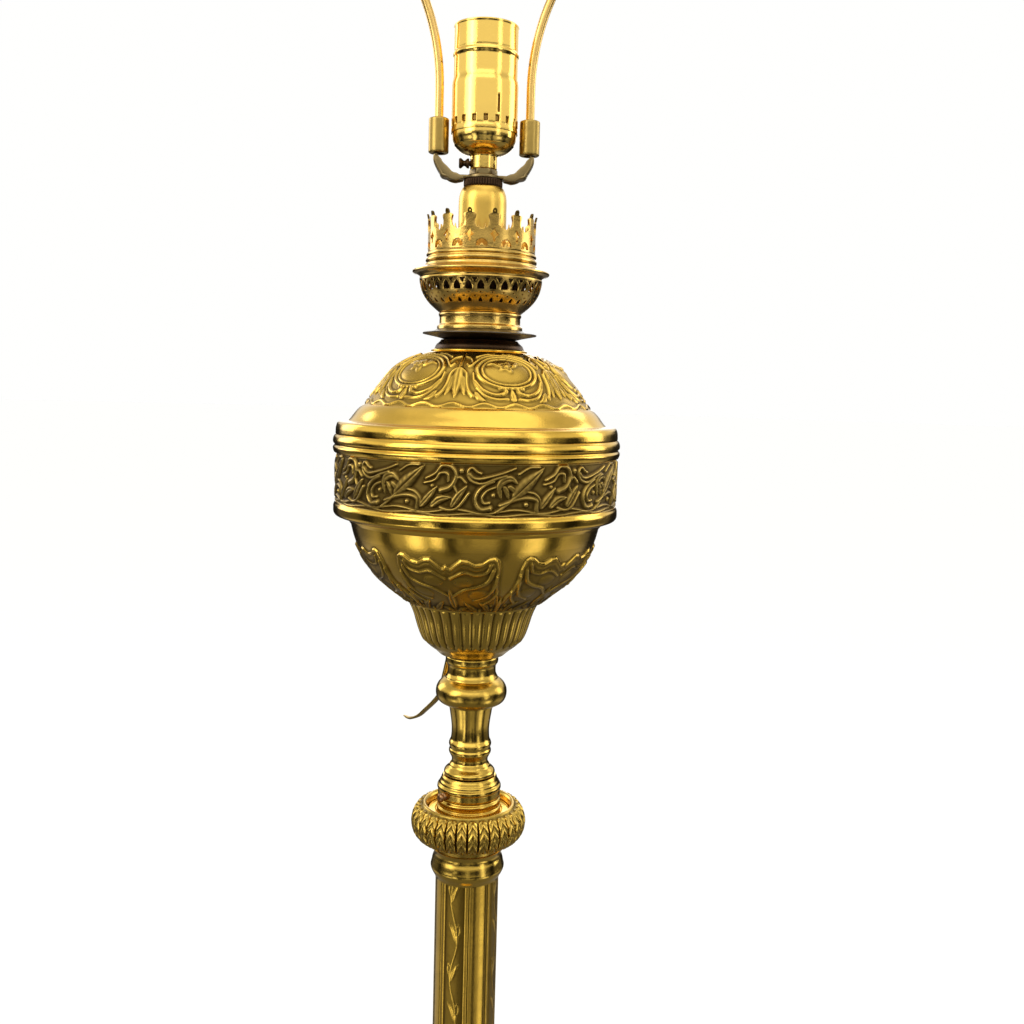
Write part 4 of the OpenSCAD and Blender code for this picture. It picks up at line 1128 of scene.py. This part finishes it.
def burner_neck():
    """Collar, drip plate and neck under the pierced bowl."""
    r, z0 = 25.4, level("font_collar")
    bead = [(r - 0.4, 0), (r, 0.5, 0.4), (r, 1.1, 0.4), (r - 0.8, 1.6, 0.3), (r - 2, 1.6)]
    done(lathe("font_collar_fine_bead", bead, PIPE, z0, 160), "font_collar",
         slot_name="brass_bright", replaces=False)
    line = [(r - 1.5, 1.6), (r - 2.0, 2.4, 0.5), (r - 2.6, 4.0, 0.8), (r - 4.4, 5.4),
            (r - 5.2, height("font_collar"))]
    turned("font_collar", line, PIPE)
    r, h = radius("drip_plate"), height("drip_plate")
    line = [(17.5, 0), (r - 8, 1.3), (r - 3, 2.3, 1.0), (r, 2.9, 0.4), (r, 3.6, 0.4),
            (r - 4, 4.0, 1.0), (24.5, 4.4, 1.5), (22.3, h)]
    turned("drip_plate", line, PIPE)
    r, h = radius("burner_neck") - 1.2, height("burner_neck")
    line = [(r + 1.2, 0), (r + 1.2, 1.6, 0.5), (r + 0.4, 2.2, 0.3), (r, 2.7, 0.3), (r, 6.3, 0.4),
            (r + 0.5, 7.0, 0.3), (r + 0.5, 8.0, 0.3), (r, 8.5, 0.2), (r, h)]
    turned("burner_neck", line, r - 2.5)


WINDOWS = 32                # windows around the burner bowl


def burner_bowl():
    """Pierced bowl: arched windows over dots and drops."""
    r0, r1, h = radius("burner_neck") - 1.2, radius("burner_bowl"), height("burner_bowl")
    z0 = level("burner_bowl")
    shares = [(0, 0), (0.24, 0.12), (0.48, 0.25), (0.72, 0.43), (0.90, 0.64), (1, 0.94),
              (1, 1)]
    line = rounded([(between(r0, r1, a), b * h) for a, b in shares])
    run = run_of(line)
    normal = outward(line)
    total = run[-1]
    pitch = 2 * math.pi * r1 / WINDOWS

    def bend(u, v, n):
        r = np.interp(v, run, line[:, 0]) + n * np.interp(v, run, normal[:, 0])
        z = np.interp(v, run, line[:, 1]) + n * np.interp(v, run, normal[:, 1])
        phi = (u + pitch / 2) / r1
        return (r * math.sin(phi), -r * math.cos(phi), z0 + z)

    top = total - 2.2
    mid = pitch / 2
    window = [(-1.85, top - 5.0), (1.85, top - 5.0), (1.8, top - 3.2), (1.1, top - 1.5),
              (0.0, top - 0.2), (-1.1, top - 1.5), (-1.8, top - 3.2)]
    wedge = [(mid, top - 1.9), (mid + 0.5, top - 0.9), (mid + 1.6, top + 0.6),
             (mid - 1.6, top + 0.6), (mid - 0.5, top - 0.9)]
    dot = arc_points(0, top - 6.6, 0.42, 0, 330, 8)
    drop = [(-1.0, top - 12.2), (1.0, top - 12.2), (1.0, top - 10.8), (0, top - 9.2),
            (-1.0, top - 10.8)]
    drop = [(a, max(b, 1.6)) for a, b in drop]
    slot_ = arc_points(mid, top - 8.6, 0.5, 0, 330, 8)
    holes = []
    for shape in (window, dot, drop):
        holes += ring_of(shape, WINDOWS, pitch)
    for shape in (wedge, slot_):
        holes += ring_of(shape, WINDOWS, pitch)[:-1]
    w = pitch * WINDOWS / 2
    outline = [(-w, 0), (w, 0), (w, total), (-w, total)]
    cuts_u = np.linspace(-w, w, WINDOWS * 4 + 1)[1:-1]
    cuts_v = np.linspace(0, total, 20)[1:-1]
    bowl = pierced("burner_bowl_fine", outline, holes, 0.9, cuts_u, cuts_v, bend, 0.1)
    done(bowl, "burner_bowl", angle=30)
    # a dark inner cup stands for the shade inside the pierced bowl and keeps the bowl from being
    # seen through
    inner = [(r0 - 3, 1), (r0 - 1, 3), (r1 - 10, 9), (r1 - 7.6, h - 0.6)]
    cup = lathe("burner_bowl_fine_shade_cup", inner, r0 - 4.5, z0, 128,
                inner=[(r1 - 9, h - 0.6), (r1 - 11.5, 9.4), (r0 - 2.6, 3.4), (r0 - 4.5, 1)])
    done(cup, "burner_bowl", slot_name="dark_brown", replaces=False)


def burner_flange():
    """Thin flange and the ring under the gallery."""
    r, h = radius("burner_flange"), height("burner_flange")
    b = radius("burner_bowl")
    line = [(b, 0), (b + 0.3, 1.0, 0.4), (r - 2.2, 2.1, 0.8), (r, 2.8, 0.5), (r + 0, 3.8, 0.4),
            (r - 0.8, 4.2, 0.3), (r - 3, 4.6, 0.6), (CROWN + 2.4, 5.4, 0.8),
            (CROWN + 1, 6.2, 0.4), (CROWN + 0.9, 7.2, 0.4), (CROWN, h)]
    turned("burner_flange", line, CROWN - 8, 192)
    r, h = CROWN, height("gallery_ring")
    line = [(r, 0), (r + 0.7, 0.6, 0.3), (r + 0.7, 1.7, 0.4), (r + 0.05, 2.4, 0.3),
            (r - 0.2, 2.9, 0.3), (r + 0.4, 3.5, 0.3), (r + 0.4, 4.2, 0.3), (r, h)]
    turned("gallery_ring", line, r - 2.15, 192)


POINTS = 14                 # points of the gallery


def gallery_crown():
    """Pierced gallery with fourteen leaning points."""
    r, h, z0 = CROWN, height("gallery_crown"), level("gallery_crown")
    pitch = 2 * math.pi * r / POINTS
    k = h / 20

    def bend(u, v, n):
        lean = 0.0016 * max(v - 6 * k, 0) ** 2 - 0.25
        tip = 0.14 * max(v - 17.2 * k, 0) ** 1.2
        out = min(r - 0.6 + n + lean + tip, r + 1.6)
        phi = u / r
        return (out * math.sin(phi), -out * math.cos(phi), z0 + v)

    # The curled tips of the points are painted dark: painted shade where they turn outward and
    # over.
    def tone(u, v, n):
        return 0.12 if v > 17.45 * k else 1.0

    half = pitch / 2
    tip = [(0, 19.9), (0.7, 19.6), (1.1, 18.8), (1.15, 17.5)]
    shoulder = [(2.3, 17.4), (3.05, 17.0), (3.3, 16.3), (3.05, 15.3), (2.7, 14.3),
                (2.7, 13.0), (3.0, 11.9), (3.6, 10.9)]
    notch = [(4.1, 10.4), (4.5, 10.8), (4.75, 12.4), (5.0, 10.7), (5.5, 9.9), (half, 9.7)]
    right = [(u, v * k) for u, v in tip + shoulder + notch]
    left = [(-u, v) for u, v in right[::-1][:-1]]
    outline = []
    for part in ring_of(left + right, POINTS, pitch):
        outline += part if not outline else part[1:]
    w = pitch * POINTS / 2
    outline = outline[::-1] + [(-w, 0), (w, 0)]
    lens = [(0, 10.4), (-0.5, 9.2), (-1.4, 8.1), (-2.7, 7.0), (-1.3, 6.0), (-0.75, 5.2),
            (-0.95, 4.4), (-0.6, 3.5), (0, 3.1)]
    diamond = [(u, v * k) for u, v in lens + [(-a, b) for a, b in lens[1:-1][::-1]]]
    fan = [(-3.05, 1.2), (-1.2, 1.2), (-0.7, 2.2), (0, 2.7), (0.7, 2.2), (1.2, 1.2),
           (3.05, 1.2), (2.75, 3.0), (1.8, 4.3), (0, 4.9), (-1.8, 4.3), (-2.75, 3.0)]
    fan = [(u, v * k) for u, v in fan]
    nub = arc_points(0, 18.5 * k, 0.42, 0, 330, 8)
    holes = ring_of(diamond, POINTS, pitch) + ring_of(nub, POINTS, pitch)
    holes += [[(u + half, v) for u, v in one] for one in ring_of(fan, POINTS, pitch)][:-1]
    cuts_u = np.linspace(-w, w, POINTS * 8 + 1)[1:-1]
    cuts_v = np.append(np.linspace(0, h, 14)[1:-1], [17.4 * k, 17.5 * k])
    crown = pierced("gallery_crown_fine", outline, holes, 1.1, cuts_u, cuts_v, bend, 0.12,
                    tone)
    done(crown, "gallery_crown", angle=30)


def adapter():
    """Satin tube that carries the socket, with its nut."""
    r, h = radius("adapter_tube") - 2.5, height("adapter_tube")
    line = [(r + 2.5, 0), (r + 2.5, 1.5, 0.5), (r, 3.5, 0.8), (r, h - 7, 2), (r - 0.35, h - 3.8, 2),
            (r - 1.3, h - 1.4, 1), (r - 2, h - 0.3, 0.4), (r - 2.4, h)]
    turned("adapter_tube", line, 9.0,
           inner=[(PIPE, h), (PIPE, h - 4), (r - 3, h - 4), (r - 3, 0)])

    def knurl(phi, run, rr, z):
        teeth = 0.22 * np.sign(np.sin(phi * 44)) * np.abs(np.sin(phi * 44)) ** 0.5
        on = np.clip(z / 0.4, 0, 1) * np.clip((height("saddle_locknut") - z) / 0.4, 0, 1)
        lift = teeth * on
        # The knurled band is darker, most in its grooves: painted shade and tarnish.
        return lift, np.clip(0.6 + lift * 1.6, 0.2, 1)

    h = height("saddle_locknut")
    line = [(9.4, 0), (9.9, 0.5, 0.3), (9.9, h - 0.5, 0.3), (9.4, h)]
    turned("saddle_locknut", line, PIPE, 352, 50, step=0.35, relief=knurl)


# ------------------------------------------------------------------ socket
def hexagon(name, r, low, high, bore, chamfer=0.5, n=96):
    """A hexagon nut, r from its middle to a corner, with the corners turned off."""
    phi = np.linspace(0, 2 * math.pi, n, endpoint=False)
    wall = r * math.cos(math.pi / 6) / np.cos((phi + math.pi / 6) % (math.pi / 3) - math.pi / 6)
    turn = np.minimum(wall, r - 0.12)
    rows = [(np.full(n, bore), low), (np.minimum(turn, r - chamfer), low),
            (turn, low + chamfer * 0.6), (turn, high - chamfer * 0.6),
            (np.minimum(turn, r - chamfer), high), (np.full(n, bore), high)]
    points = np.stack([np.stack([a * np.sin(phi), -a * np.cos(phi), np.full(n, z)], 1)
                       for a, z in rows])
    return grid_object(name, points, np.ones(points.shape[:2]))


def saddle():
    """Strap with upturned channel arms and tips for the ferrules."""
    low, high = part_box("harp_saddle")
    z0, top = low[2] / MM, high[2] / MM
    x = high[0] / MM - 3
    parts = []
    mid = smooth_line([(0, 1.0), (9, 1.0), (x - 3.6, 1.15), (x - 1.2, 3.6), (x + 1.2, 7.8),
                       (x + 1.75, 10.0), (x + 1.55, 11.6)], 48)
    share = np.linspace(0, 1, len(mid))
    for s in (-1, 1):
        path = np.stack([s * mid[:, 0], 0 * mid[:, 0], mid[:, 1] + z0], 1)
        parts.append(sweep("arm", path, 4.5, np.interp(share, [0, 0.8, 1], [0.95, 0.9, 0.7]),
                           (0, s, 0), 28, 6.0))
        for y in (-4.0, 4.0):
            rib = smooth_line([(10.4, 0.3), (x - 7.2, 1.1), (x - 4.2, 3.4), (x - 1.2, 6.6),
                               (x + 0.6, 10.8)], 40)
            t = np.linspace(0, 1, len(rib))
            path = np.stack([s * rib[:, 0], 0 * rib[:, 0] + y, rib[:, 1] + z0], 1)
            deep = np.interp(t, [0, 0.15, 0.6, 0.9, 1], [0.7, 2.0, 2.2, 1.5, 0.6])
            parts.append(sweep("rib", path, 0.5, deep, (0, s, 0), 20, 5.0))
        tip = np.array([(s * (x + 0.88), 0, z0 + a) for a in
                        np.linspace(11, top - z0 - 0.3, 12)])
        parts.append(sweep("tip", tip, np.interp(np.arange(12), [0, 9, 11], [1.9, 1.9, 1.3]),
                           0.72, (0, s, 0), 24, 5.0))
    pad = lathe("pad", [(8.6, 0), (9, 0.4, 0.2), (9, 1.6, 0.2), (8.6, 2.02)], PIPE, z0, 96)
    parts.append(pad)
    done(joined("harp_saddle_fine", parts), "harp_saddle", angle=45)


def socket():
    """Nut, cap, shell, set screw and thread shell of the lamp socket."""
    low, h = level("spacer_nut"), height("spacer_nut")
    done(hexagon("spacer_nut_fine", 7.4, low, low + h, PIPE), "spacer_nut", angle=30)
    z0 = level("socket_cap")
    r = SOCKET
    neck = [(6.6, 0), (7.0, 0.4, 0.2), (7.0, 6.6, 0.4), (7.6, 7.4, 0.5), (9.6, 7.9),
            (12.2, 8.9, 1.5), (14.2, 10.6, 1.0), (15.0, 11.6, 0.4), (15.3, 11.8, 0.2),
            (r - 0.9, 12.8, 0.6), (r - 0.1, 14.6, 0.8), (r + 0.1, 16.4, 0.5), (r + 0.1, 18)]
    inner = [(r - 1, 18), (r - 1.2, 15), (r - 3, 12.2), (10.8, 10.2), (PIPE, 9.4), (PIPE, 0)]
    turned("socket_cap", neck, 0, 192, inner=inner)
    line = [(1.3, 5.2, 0.2), (1.3, 7.4, 0.2), (2.5, 7.5, 0.3), (2.5, 8.5, 0.4), (1.3, 9.8, 0.6),
            (1.4, 10.4, 0.5), (2.6, 11.6, 0.5), (2.6, 12.4, 0.3), (2.2, 12.8, 0.3)]
    screw = turned_on("cap_set_screw_fine", line, (0, 0, z0 + 3.2), (-1, 0, 0), 48)
    done(screw, "cap_set_screw")
    z0, h = level("socket_shell"), height("socket_shell")

    def dents(phi, run, rr, z):
        lift = np.zeros(np.broadcast(phi, z).shape)
        cell = repeat(phi, 18, 2.0) * rr
        square = np.clip((1.15 - np.abs(cell)) / 0.2, 0, 1) * np.clip(
            (1.7 - np.abs(z - 4.9)) / 0.2, 0, 1)
        wide = (phi + math.pi) % (2 * math.pi) - math.pi
        slit = np.clip((0.65 - np.abs(wide * rr - 7.2)) / 0.15, 0, 1) * np.clip(
            (4.5 - np.abs(z - 12.2)) / 0.3, 0, 1)
        seam = np.clip((0.16 - np.abs(wide * rr + 30)) / 0.1, 0, 1) * 0.3
        lift -= 1.1 * np.maximum(square, slit) + seam * (z < 36)
        # The square dents and the slit are painted nearly black: painted shade in them.
        tone = 1 - 0.97 * np.maximum(square, slit)
        return lift, tone

    line = [(r + 0.7, 0), (r + 0.75, 0.6, 0.3), (r + 0.75, 1.8, 0.3), (r + 0.55, 2.4, 0.3),
            (r + 0.7, 3.0, 0.3), (r + 0.7, h - 28.4, 1.5), (r, h - 25.6, 1.5),
            (r, h - 15.8, 0.5), (r + 0.55, h - 14.9, 0.5), (r + 0.5, h - 13.7, 0.4),
            (r - 0.25, h - 13.0, 0.3), (r, h - 12.2, 0.4), (r, h - 0.9, 0.4),
            (r + 0.35, h - 0.4, 0.3), (r + 0.1, h)]
    inner = [(r - 0.6, h), (r - 0.6, 0)]
    phi = np.linspace(0, 2 * math.pi, 18 * 52, endpoint=False)
    shell = lathe("socket_shell_fine", line, 0, z0, step=0.55, relief=dents, inner=inner,
                  phi=phi)
    hole = turned_on("hole", [(2.6, 0, 0), (2.6, 20, 0)], (0, r - 5, z0 + 8), (0, 1, 0))
    cut(shell, hole)
    done(shell, "socket_shell", angle=50)

    low, h = level("lamp_thread_shell"), height("lamp_thread_shell")
    a = radius("lamp_thread_shell")
    phi = np.linspace(0, 2 * math.pi, 96, endpoint=False)
    z = np.linspace(0, h, 110)
    wave = 0.32 * np.cos(2 * math.pi * (z[:, None] / 3.62 - phi[None] / (2 * math.pi)))
    wave = wave * np.clip(z / 1.5, 0, 1)[:, None] * np.clip((h - z) / 1.5, 0, 1)[:, None]
    outer = a - 0.35 + wave
    inside = a - 0.85 + wave
    rr = np.vstack([outer, inside[::-1]])
    zz = np.r_[z, z[::-1]]
    points = np.stack([rr * np.sin(phi), -rr * np.cos(phi),
                       np.repeat(zz[:, None], 96, 1) + low], 2)
    done(grid_object("lamp_thread_shell_fine", points, np.ones(points.shape[:2])),
         "lamp_thread_shell", angle=60)


def switch():
    """Fluted turn knob at the back."""
    low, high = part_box("switch_knob")
    z = middle("switch_knob")
    y0, y1 = low[1] / MM, high[1] / MM
    stem_ = turned_on("spindle", [(1.2, y0, 0.3), (1.6, y0 + 0.5, 0.3), (1.6, y1 - 14, 0.3),
                                  (3.2, y1 - 13.6, 0.4), (3.2, y1 - 10.2, 0.6),
                                  (2.0, y1 - 9.5, 0.5), (2.0, y1 - 3, 1)], (0, 0, z), (0, 1, 0))
    paddle = [(-2.4, 0), (-4.6, 1.4), (-6.2, 3.8), (-6.45, 6.8), (-5.2, 9.6), (-2.8, 10.9),
              (0, 11.0), (2.8, 10.9), (5.2, 9.6), (6.45, 6.8), (6.2, 3.8), (4.6, 1.4), (2.4, 0)]
    flat = extruded("paddle", paddle, 3.6,
                    lambda u, v, n: Vector((u, y1 - 11 + v, z + n)), bevel=0.7)
    done(joined("switch_knob_fine", [stem_, flat]), "switch_knob", angle=50)


# ------------------------------------------------------------------ harp
def harp():
    """Bent wire bow with flat feet, its boss, and the stud on top."""
    low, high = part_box("harp_bow")
    half = high[0] / MM - 2.25
    z_foot = low[2] / MM
    z_top = high[2] / MM - 2.6
    leg = middle("ferrule_right", axis=0)
    z_arm = level("harp_saddle")
    straight = z_arm + 46
    out_a, in_a, out_r = math.radians(30), math.radians(35), 115
    x1 = leg + out_r * (1 - math.cos(out_a))
    z1 = straight + out_r * math.sin(out_a)
    side_r = (half - x1) / (1 - math.cos(out_a))
    cx, cz = half - side_r, z1 + side_r * math.sin(out_a)
    top_r = (cx + side_r * math.cos(in_a)) / math.cos(in_a)
    top_z = cz + side_r * math.sin(in_a) - top_r * math.sin(in_a)
    right = [(leg - 0.93, z_foot), (leg - 0.93, z_arm + 22.5), (leg, z_arm + 28)]
    right += [(leg, a) for a in np.linspace(z_arm + 31, straight, 6)]
    right += [(leg + out_r * (1 - math.cos(a)), straight + out_r * math.sin(a))
              for a in np.linspace(0, out_a, 14)[1:]]
    right += [(cx + side_r * math.cos(a), cz + side_r * math.sin(a))
              for a in np.linspace(-out_a, in_a, 26)[1:]]
    right += [(top_r * math.cos(a), top_z + top_r * math.sin(a))
              for a in np.linspace(in_a, math.pi / 2, 24)[1:]]
    right = np.array(right)
    left = right[::-1][1:] * [-1, 1]
    path = np.vstack([right, left])
    points = np.stack([path[:, 0], 0 * path[:, 0], path[:, 1]], 1)
    zed = points[:, 2]
    thick = np.interp(zed, [z_arm + 22.5, z_arm + 28], [0.78, 2.25])
    wide = np.interp(zed, [z_arm + 22.5, z_arm + 28], [1.9, 2.25])
    bow = sweep("bow", points, wide, thick, (0, -1, 0), 32, 2.0)
    boss = lathe("boss", [(6.6, -2.6), (7, -2.2, 0.3), (7, 2.2, 0.3), (6.6, 2.6)], 2.65, z_top, 64)
    done(joined("harp_bow_fine", [bow, boss]), "harp_bow", angle=45)
    low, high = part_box("harp_stud")
    r = 3.1
    tall = high[2] / MM - z_top
    turns = np.arange(5.2, tall - 0.8, 0.45)
    line = [(3.6, -4.4), (4.2, -4.0, 0.3), (4.2, -3.4, 0.3), (3.8, -3.0, 0.2), (2.6, -3.0, 0.1),
            (2.6, 3.0, 0.1), (6.1, 3.0, 0.1), (6.5, 3.4, 0.3), (6.5, 4.2, 0.3), (6.1, 4.6, 0.2),
            (r, 4.7, 0.2)]
    line += [(r - (0.32 if i % 2 else 0), a, 0.1) for i, a in enumerate(turns)]
    line += [(r - 0.2, tall - 0.6, 0.2), (r - 0.8, tall, 0.2)]
    stud = turned_on("harp_stud_fine", line, (0, 0, z_top), (0, 0, 1), 96)
    done(stud, "harp_stud", angle=35)


def ferrules():
    """Sleeves that lock the harp's feet on the saddle's tips."""
    for node_name in ("ferrule_left", "ferrule_right"):
        r, h = radius(node_name), height(node_name)
        line = [(r - 0.6, 0), (r - 0.1, 0.3, 0.3), (r, 0.9, 0.4), (r, h - 0.9, 0.4),
                (r - 0.1, h - 0.3, 0.3), (r - 0.6, h)]
        sleeve = lathe(node_name + "_fine", line, FERRULE_BORE, level(node_name), 96)
        x = middle(node_name, axis=0) * MM
        sleeve.data.transform(Matrix.Translation((x, 0, 0)))
        done(sleeve, node_name)


# ------------------------------------------------------------------ floor and light
def patch(tree, azimuth, rise, at, half, low, high, soft=0.04):
    """A soft-edged rectangle of the room, by azimuth and by height."""
    off_centre = maths(tree, "SUBTRACT", azimuth, math.radians(at))
    wrapped = tree.nodes.new("ShaderNodeMath")
    wrapped.operation = "WRAP"
    tree.links.new(off_centre, wrapped.inputs[0])
    wrapped.inputs[1].default_value = math.pi
    wrapped.inputs[2].default_value = -math.pi
    off = maths(tree, "ABSOLUTE", wrapped.outputs["Value"], 0.0)
    edge = math.radians(half)
    inside = ranged(tree, off, edge + soft, edge - soft, kind="SMOOTHSTEP")
    over = ranged(tree, rise, low - soft, low + soft, kind="SMOOTHSTEP")
    under = ranged(tree, rise, high + soft, high - soft, kind="SMOOTHSTEP")
    return maths(tree, "MULTIPLY", inside, maths(tree, "MULTIPLY", over, under))


# The room that the metal mirrors. Azimuths and half widths are in degrees from the
# front, heights are the sine of the elevation.
SKY = [(-1.0, 0.17), (-0.64, 0.22), (-0.52, 0.48), (-0.42, 0.46), (-0.32, 0.15), (-0.15, 0.09),
       (-0.03, 0.12), (0.06, 0.25), (0.12, 0.50), (0.17, 0.92), (0.35, 1.0), (0.55, 0.72),
       (0.72, 0.66), (0.85, 1.0), (1.0, 1.0)]          # height, grey
FURNITURE = [                                          # azimuth, half width, low, high
    (-24, 7, -0.75, 0.08), (30, 6, -0.8, 0.08), (82, 9, -0.6, 0.08), (-95, 8, -0.6, 0.08),
    (150, 14, -0.6, 0.1), (-155, 12, -0.6, 0.1), (-9, 3, -0.6, -0.15), (12, 4, -0.5, -0.02),
]
FURNITURE_DARK = 0.86
WINDOWS_AND_LAMPS = [                                  # the same, and brightness
    (-60, 13, 0.0, 0.62, 1.9), (50, 6, -0.25, 0.62, 1.4), (108, 12, -0.05, 0.5, 2.2),
    (-128, 12, 0, 0.5, 2.2), (180, 9, 0.0, 0.5, 1.8), (2, 5, -0.14, 0.05, 0.5),
    (0, 34, 0.40, 0.66, 1.0), (-60, 8, -0.62, -0.42, 1.2), (62, 10, -0.7, -0.45, 1.0),
    (150, 20, 0.45, 0.65, 1.5), (-38, 4, -0.6, -0.1, 1.6),
]


def room_light(tree):
    """What the metal mirrors: a dim room with windows, lamps and furniture."""
    coords = tree.nodes.new("ShaderNodeTexCoord").outputs["Generated"]
    split = tree.nodes.new("ShaderNodeSeparateXYZ")
    tree.links.new(coords, split.inputs["Vector"])
    forward = maths(tree, "MULTIPLY", split.outputs["Y"], -1.0)
    azimuth = maths(tree, "ARCTAN2", split.outputs["X"], forward)
    rise = split.outputs["Z"]
    ramp = tree.nodes.new("ShaderNodeValToRGB")
    for at, grey in SKY:
        stop = ramp.color_ramp.elements.new((at + 1) / 2)
        stop.color = (grey, grey * 0.97, grey * 0.90, 1)
    ramp.color_ramp.elements.remove(ramp.color_ramp.elements[0])
    ramp.color_ramp.elements.remove(ramp.color_ramp.elements[-1])
    tree.links.new(ranged(tree, rise, -1.0, 1.0), ramp.inputs["Fac"])
    dark = None
    for at, half, low, high in FURNITURE:
        one = patch(tree, azimuth, rise, at, half, low, high)
        dark = one if dark is None else maths(tree, "MAXIMUM", dark, one)
    keep = maths(tree, "SUBTRACT", 1.0, maths(tree, "MULTIPLY", dark, FURNITURE_DARK))
    glow = None
    for at, half, low, high, power in WINDOWS_AND_LAMPS:
        one = maths(tree, "MULTIPLY", patch(tree, azimuth, rise, at, half, low, high), power)
        glow = one if glow is None else maths(tree, "ADD", glow, one)
    scaled = tree.nodes.new("ShaderNodeVectorMath")
    scaled.operation = "SCALE"
    tree.links.new(ramp.outputs["Color"], scaled.inputs[0])
    tree.links.new(keep, scaled.inputs["Scale"])
    added = tree.nodes.new("ShaderNodeVectorMath")
    added.operation = "ADD"
    tree.links.new(scaled.outputs["Vector"], added.inputs[0])
    tree.links.new(glow, added.inputs[1])
    return added.outputs["Vector"]


CAMERA_PLACE = (0, -0.58, 1.24)     # metres
CAMERA_TURN = (-1.94, 83.5, 1.56)   # degrees: azimuth, tilt, roll
CAMERA_LENS = 38.14                 # millimetres on a 36 mm sensor
AIM = (0, 0, 1.15)                  # where the lamps point
FLOOR_RADIUS = 60
FLOOR_GLOW = 0.10
LAMPS = (                           # name, place, size, power, colour
    ("key", (-2.2, -2.0, 2.6), (1.3, 1.9), 14, (1, 0.97, 0.92)),
    ("top", (0.4, -0.4, 4.0), (2.6, 2.6), 14, (1, 1, 1)),
)


def stage():
    """Pale floor, a soft room of light, and the camera."""
    bpy.ops.mesh.primitive_circle_add(vertices=128, radius=FLOOR_RADIUS, fill_type="NGON")
    floor = bpy.context.object
    floor.name = "floor"
    white = bpy.data.materials.new("floor_white")
    white.use_nodes = True
    shader = white.node_tree.nodes["Principled BSDF"]
    shader.inputs["Base Color"].default_value = (0.90, 0.90, 0.89, 1)
    shader.inputs["Roughness"].default_value = 0.9
    shader.inputs["Specular IOR Level"].default_value = 0.0
    shader.inputs["Emission Color"].default_value = (1, 1, 1, 1)
    shader.inputs["Emission Strength"].default_value = FLOOR_GLOW
    floor.data.materials.append(white)
    floor.visible_glossy = False
    world = bpy.data.worlds.new("room")
    bpy.context.scene.world = world
    world.use_nodes = True
    tree = world.node_tree
    back = tree.nodes["Background"]
    path = tree.nodes.new("ShaderNodeLightPath")
    seen = mixed(tree, path.outputs["Is Glossy Ray"], (1.0, 1.0, 0.99), room_light(tree))
    tree.links.new(seen, back.inputs["Color"])
    for name, place, size, power, colour in LAMPS:
        light = bpy.data.lights.new(name, "AREA")
        light.shape = "RECTANGLE"
        light.size, light.size_y = size
        light.energy = power
        light.color = colour
        lamp = placed(name, light)
        lamp.location = place
        aim = Vector(AIM) - Vector(place)
        lamp.rotation_euler = aim.to_track_quat("-Z", "Y").to_euler()
        lamp.visible_camera = False
    view = bpy.data.cameras.new("camera")
    view.lens = CAMERA_LENS
    view.sensor_width = 36
    view.clip_start = 0.01
    view.clip_end = 200
    camera = placed("camera", view)
    turn = Matrix.Identity(4)
    for degrees, axis in zip(CAMERA_TURN, "ZXZ"):
        turn = turn @ Matrix.Rotation(math.radians(degrees), 4, axis)
    camera.matrix_world = Matrix.Translation(CAMERA_PLACE) @ turn
    bpy.context.scene.camera = camera
    bpy.context.scene.view_settings.view_transform = "Standard"


stage()
base_shell()
column_foot()
column_tube()
column_capital()
leaf_ring()
clamp()
rod()
stem()
hook()
fluted_cup()
font_bowl()
font_rim()
font_band()
font_dome()
burner_neck()
burner_bowl()
burner_flange()
gallery_crown()
adapter()
saddle()
socket()
switch()
harp()
ferrules()
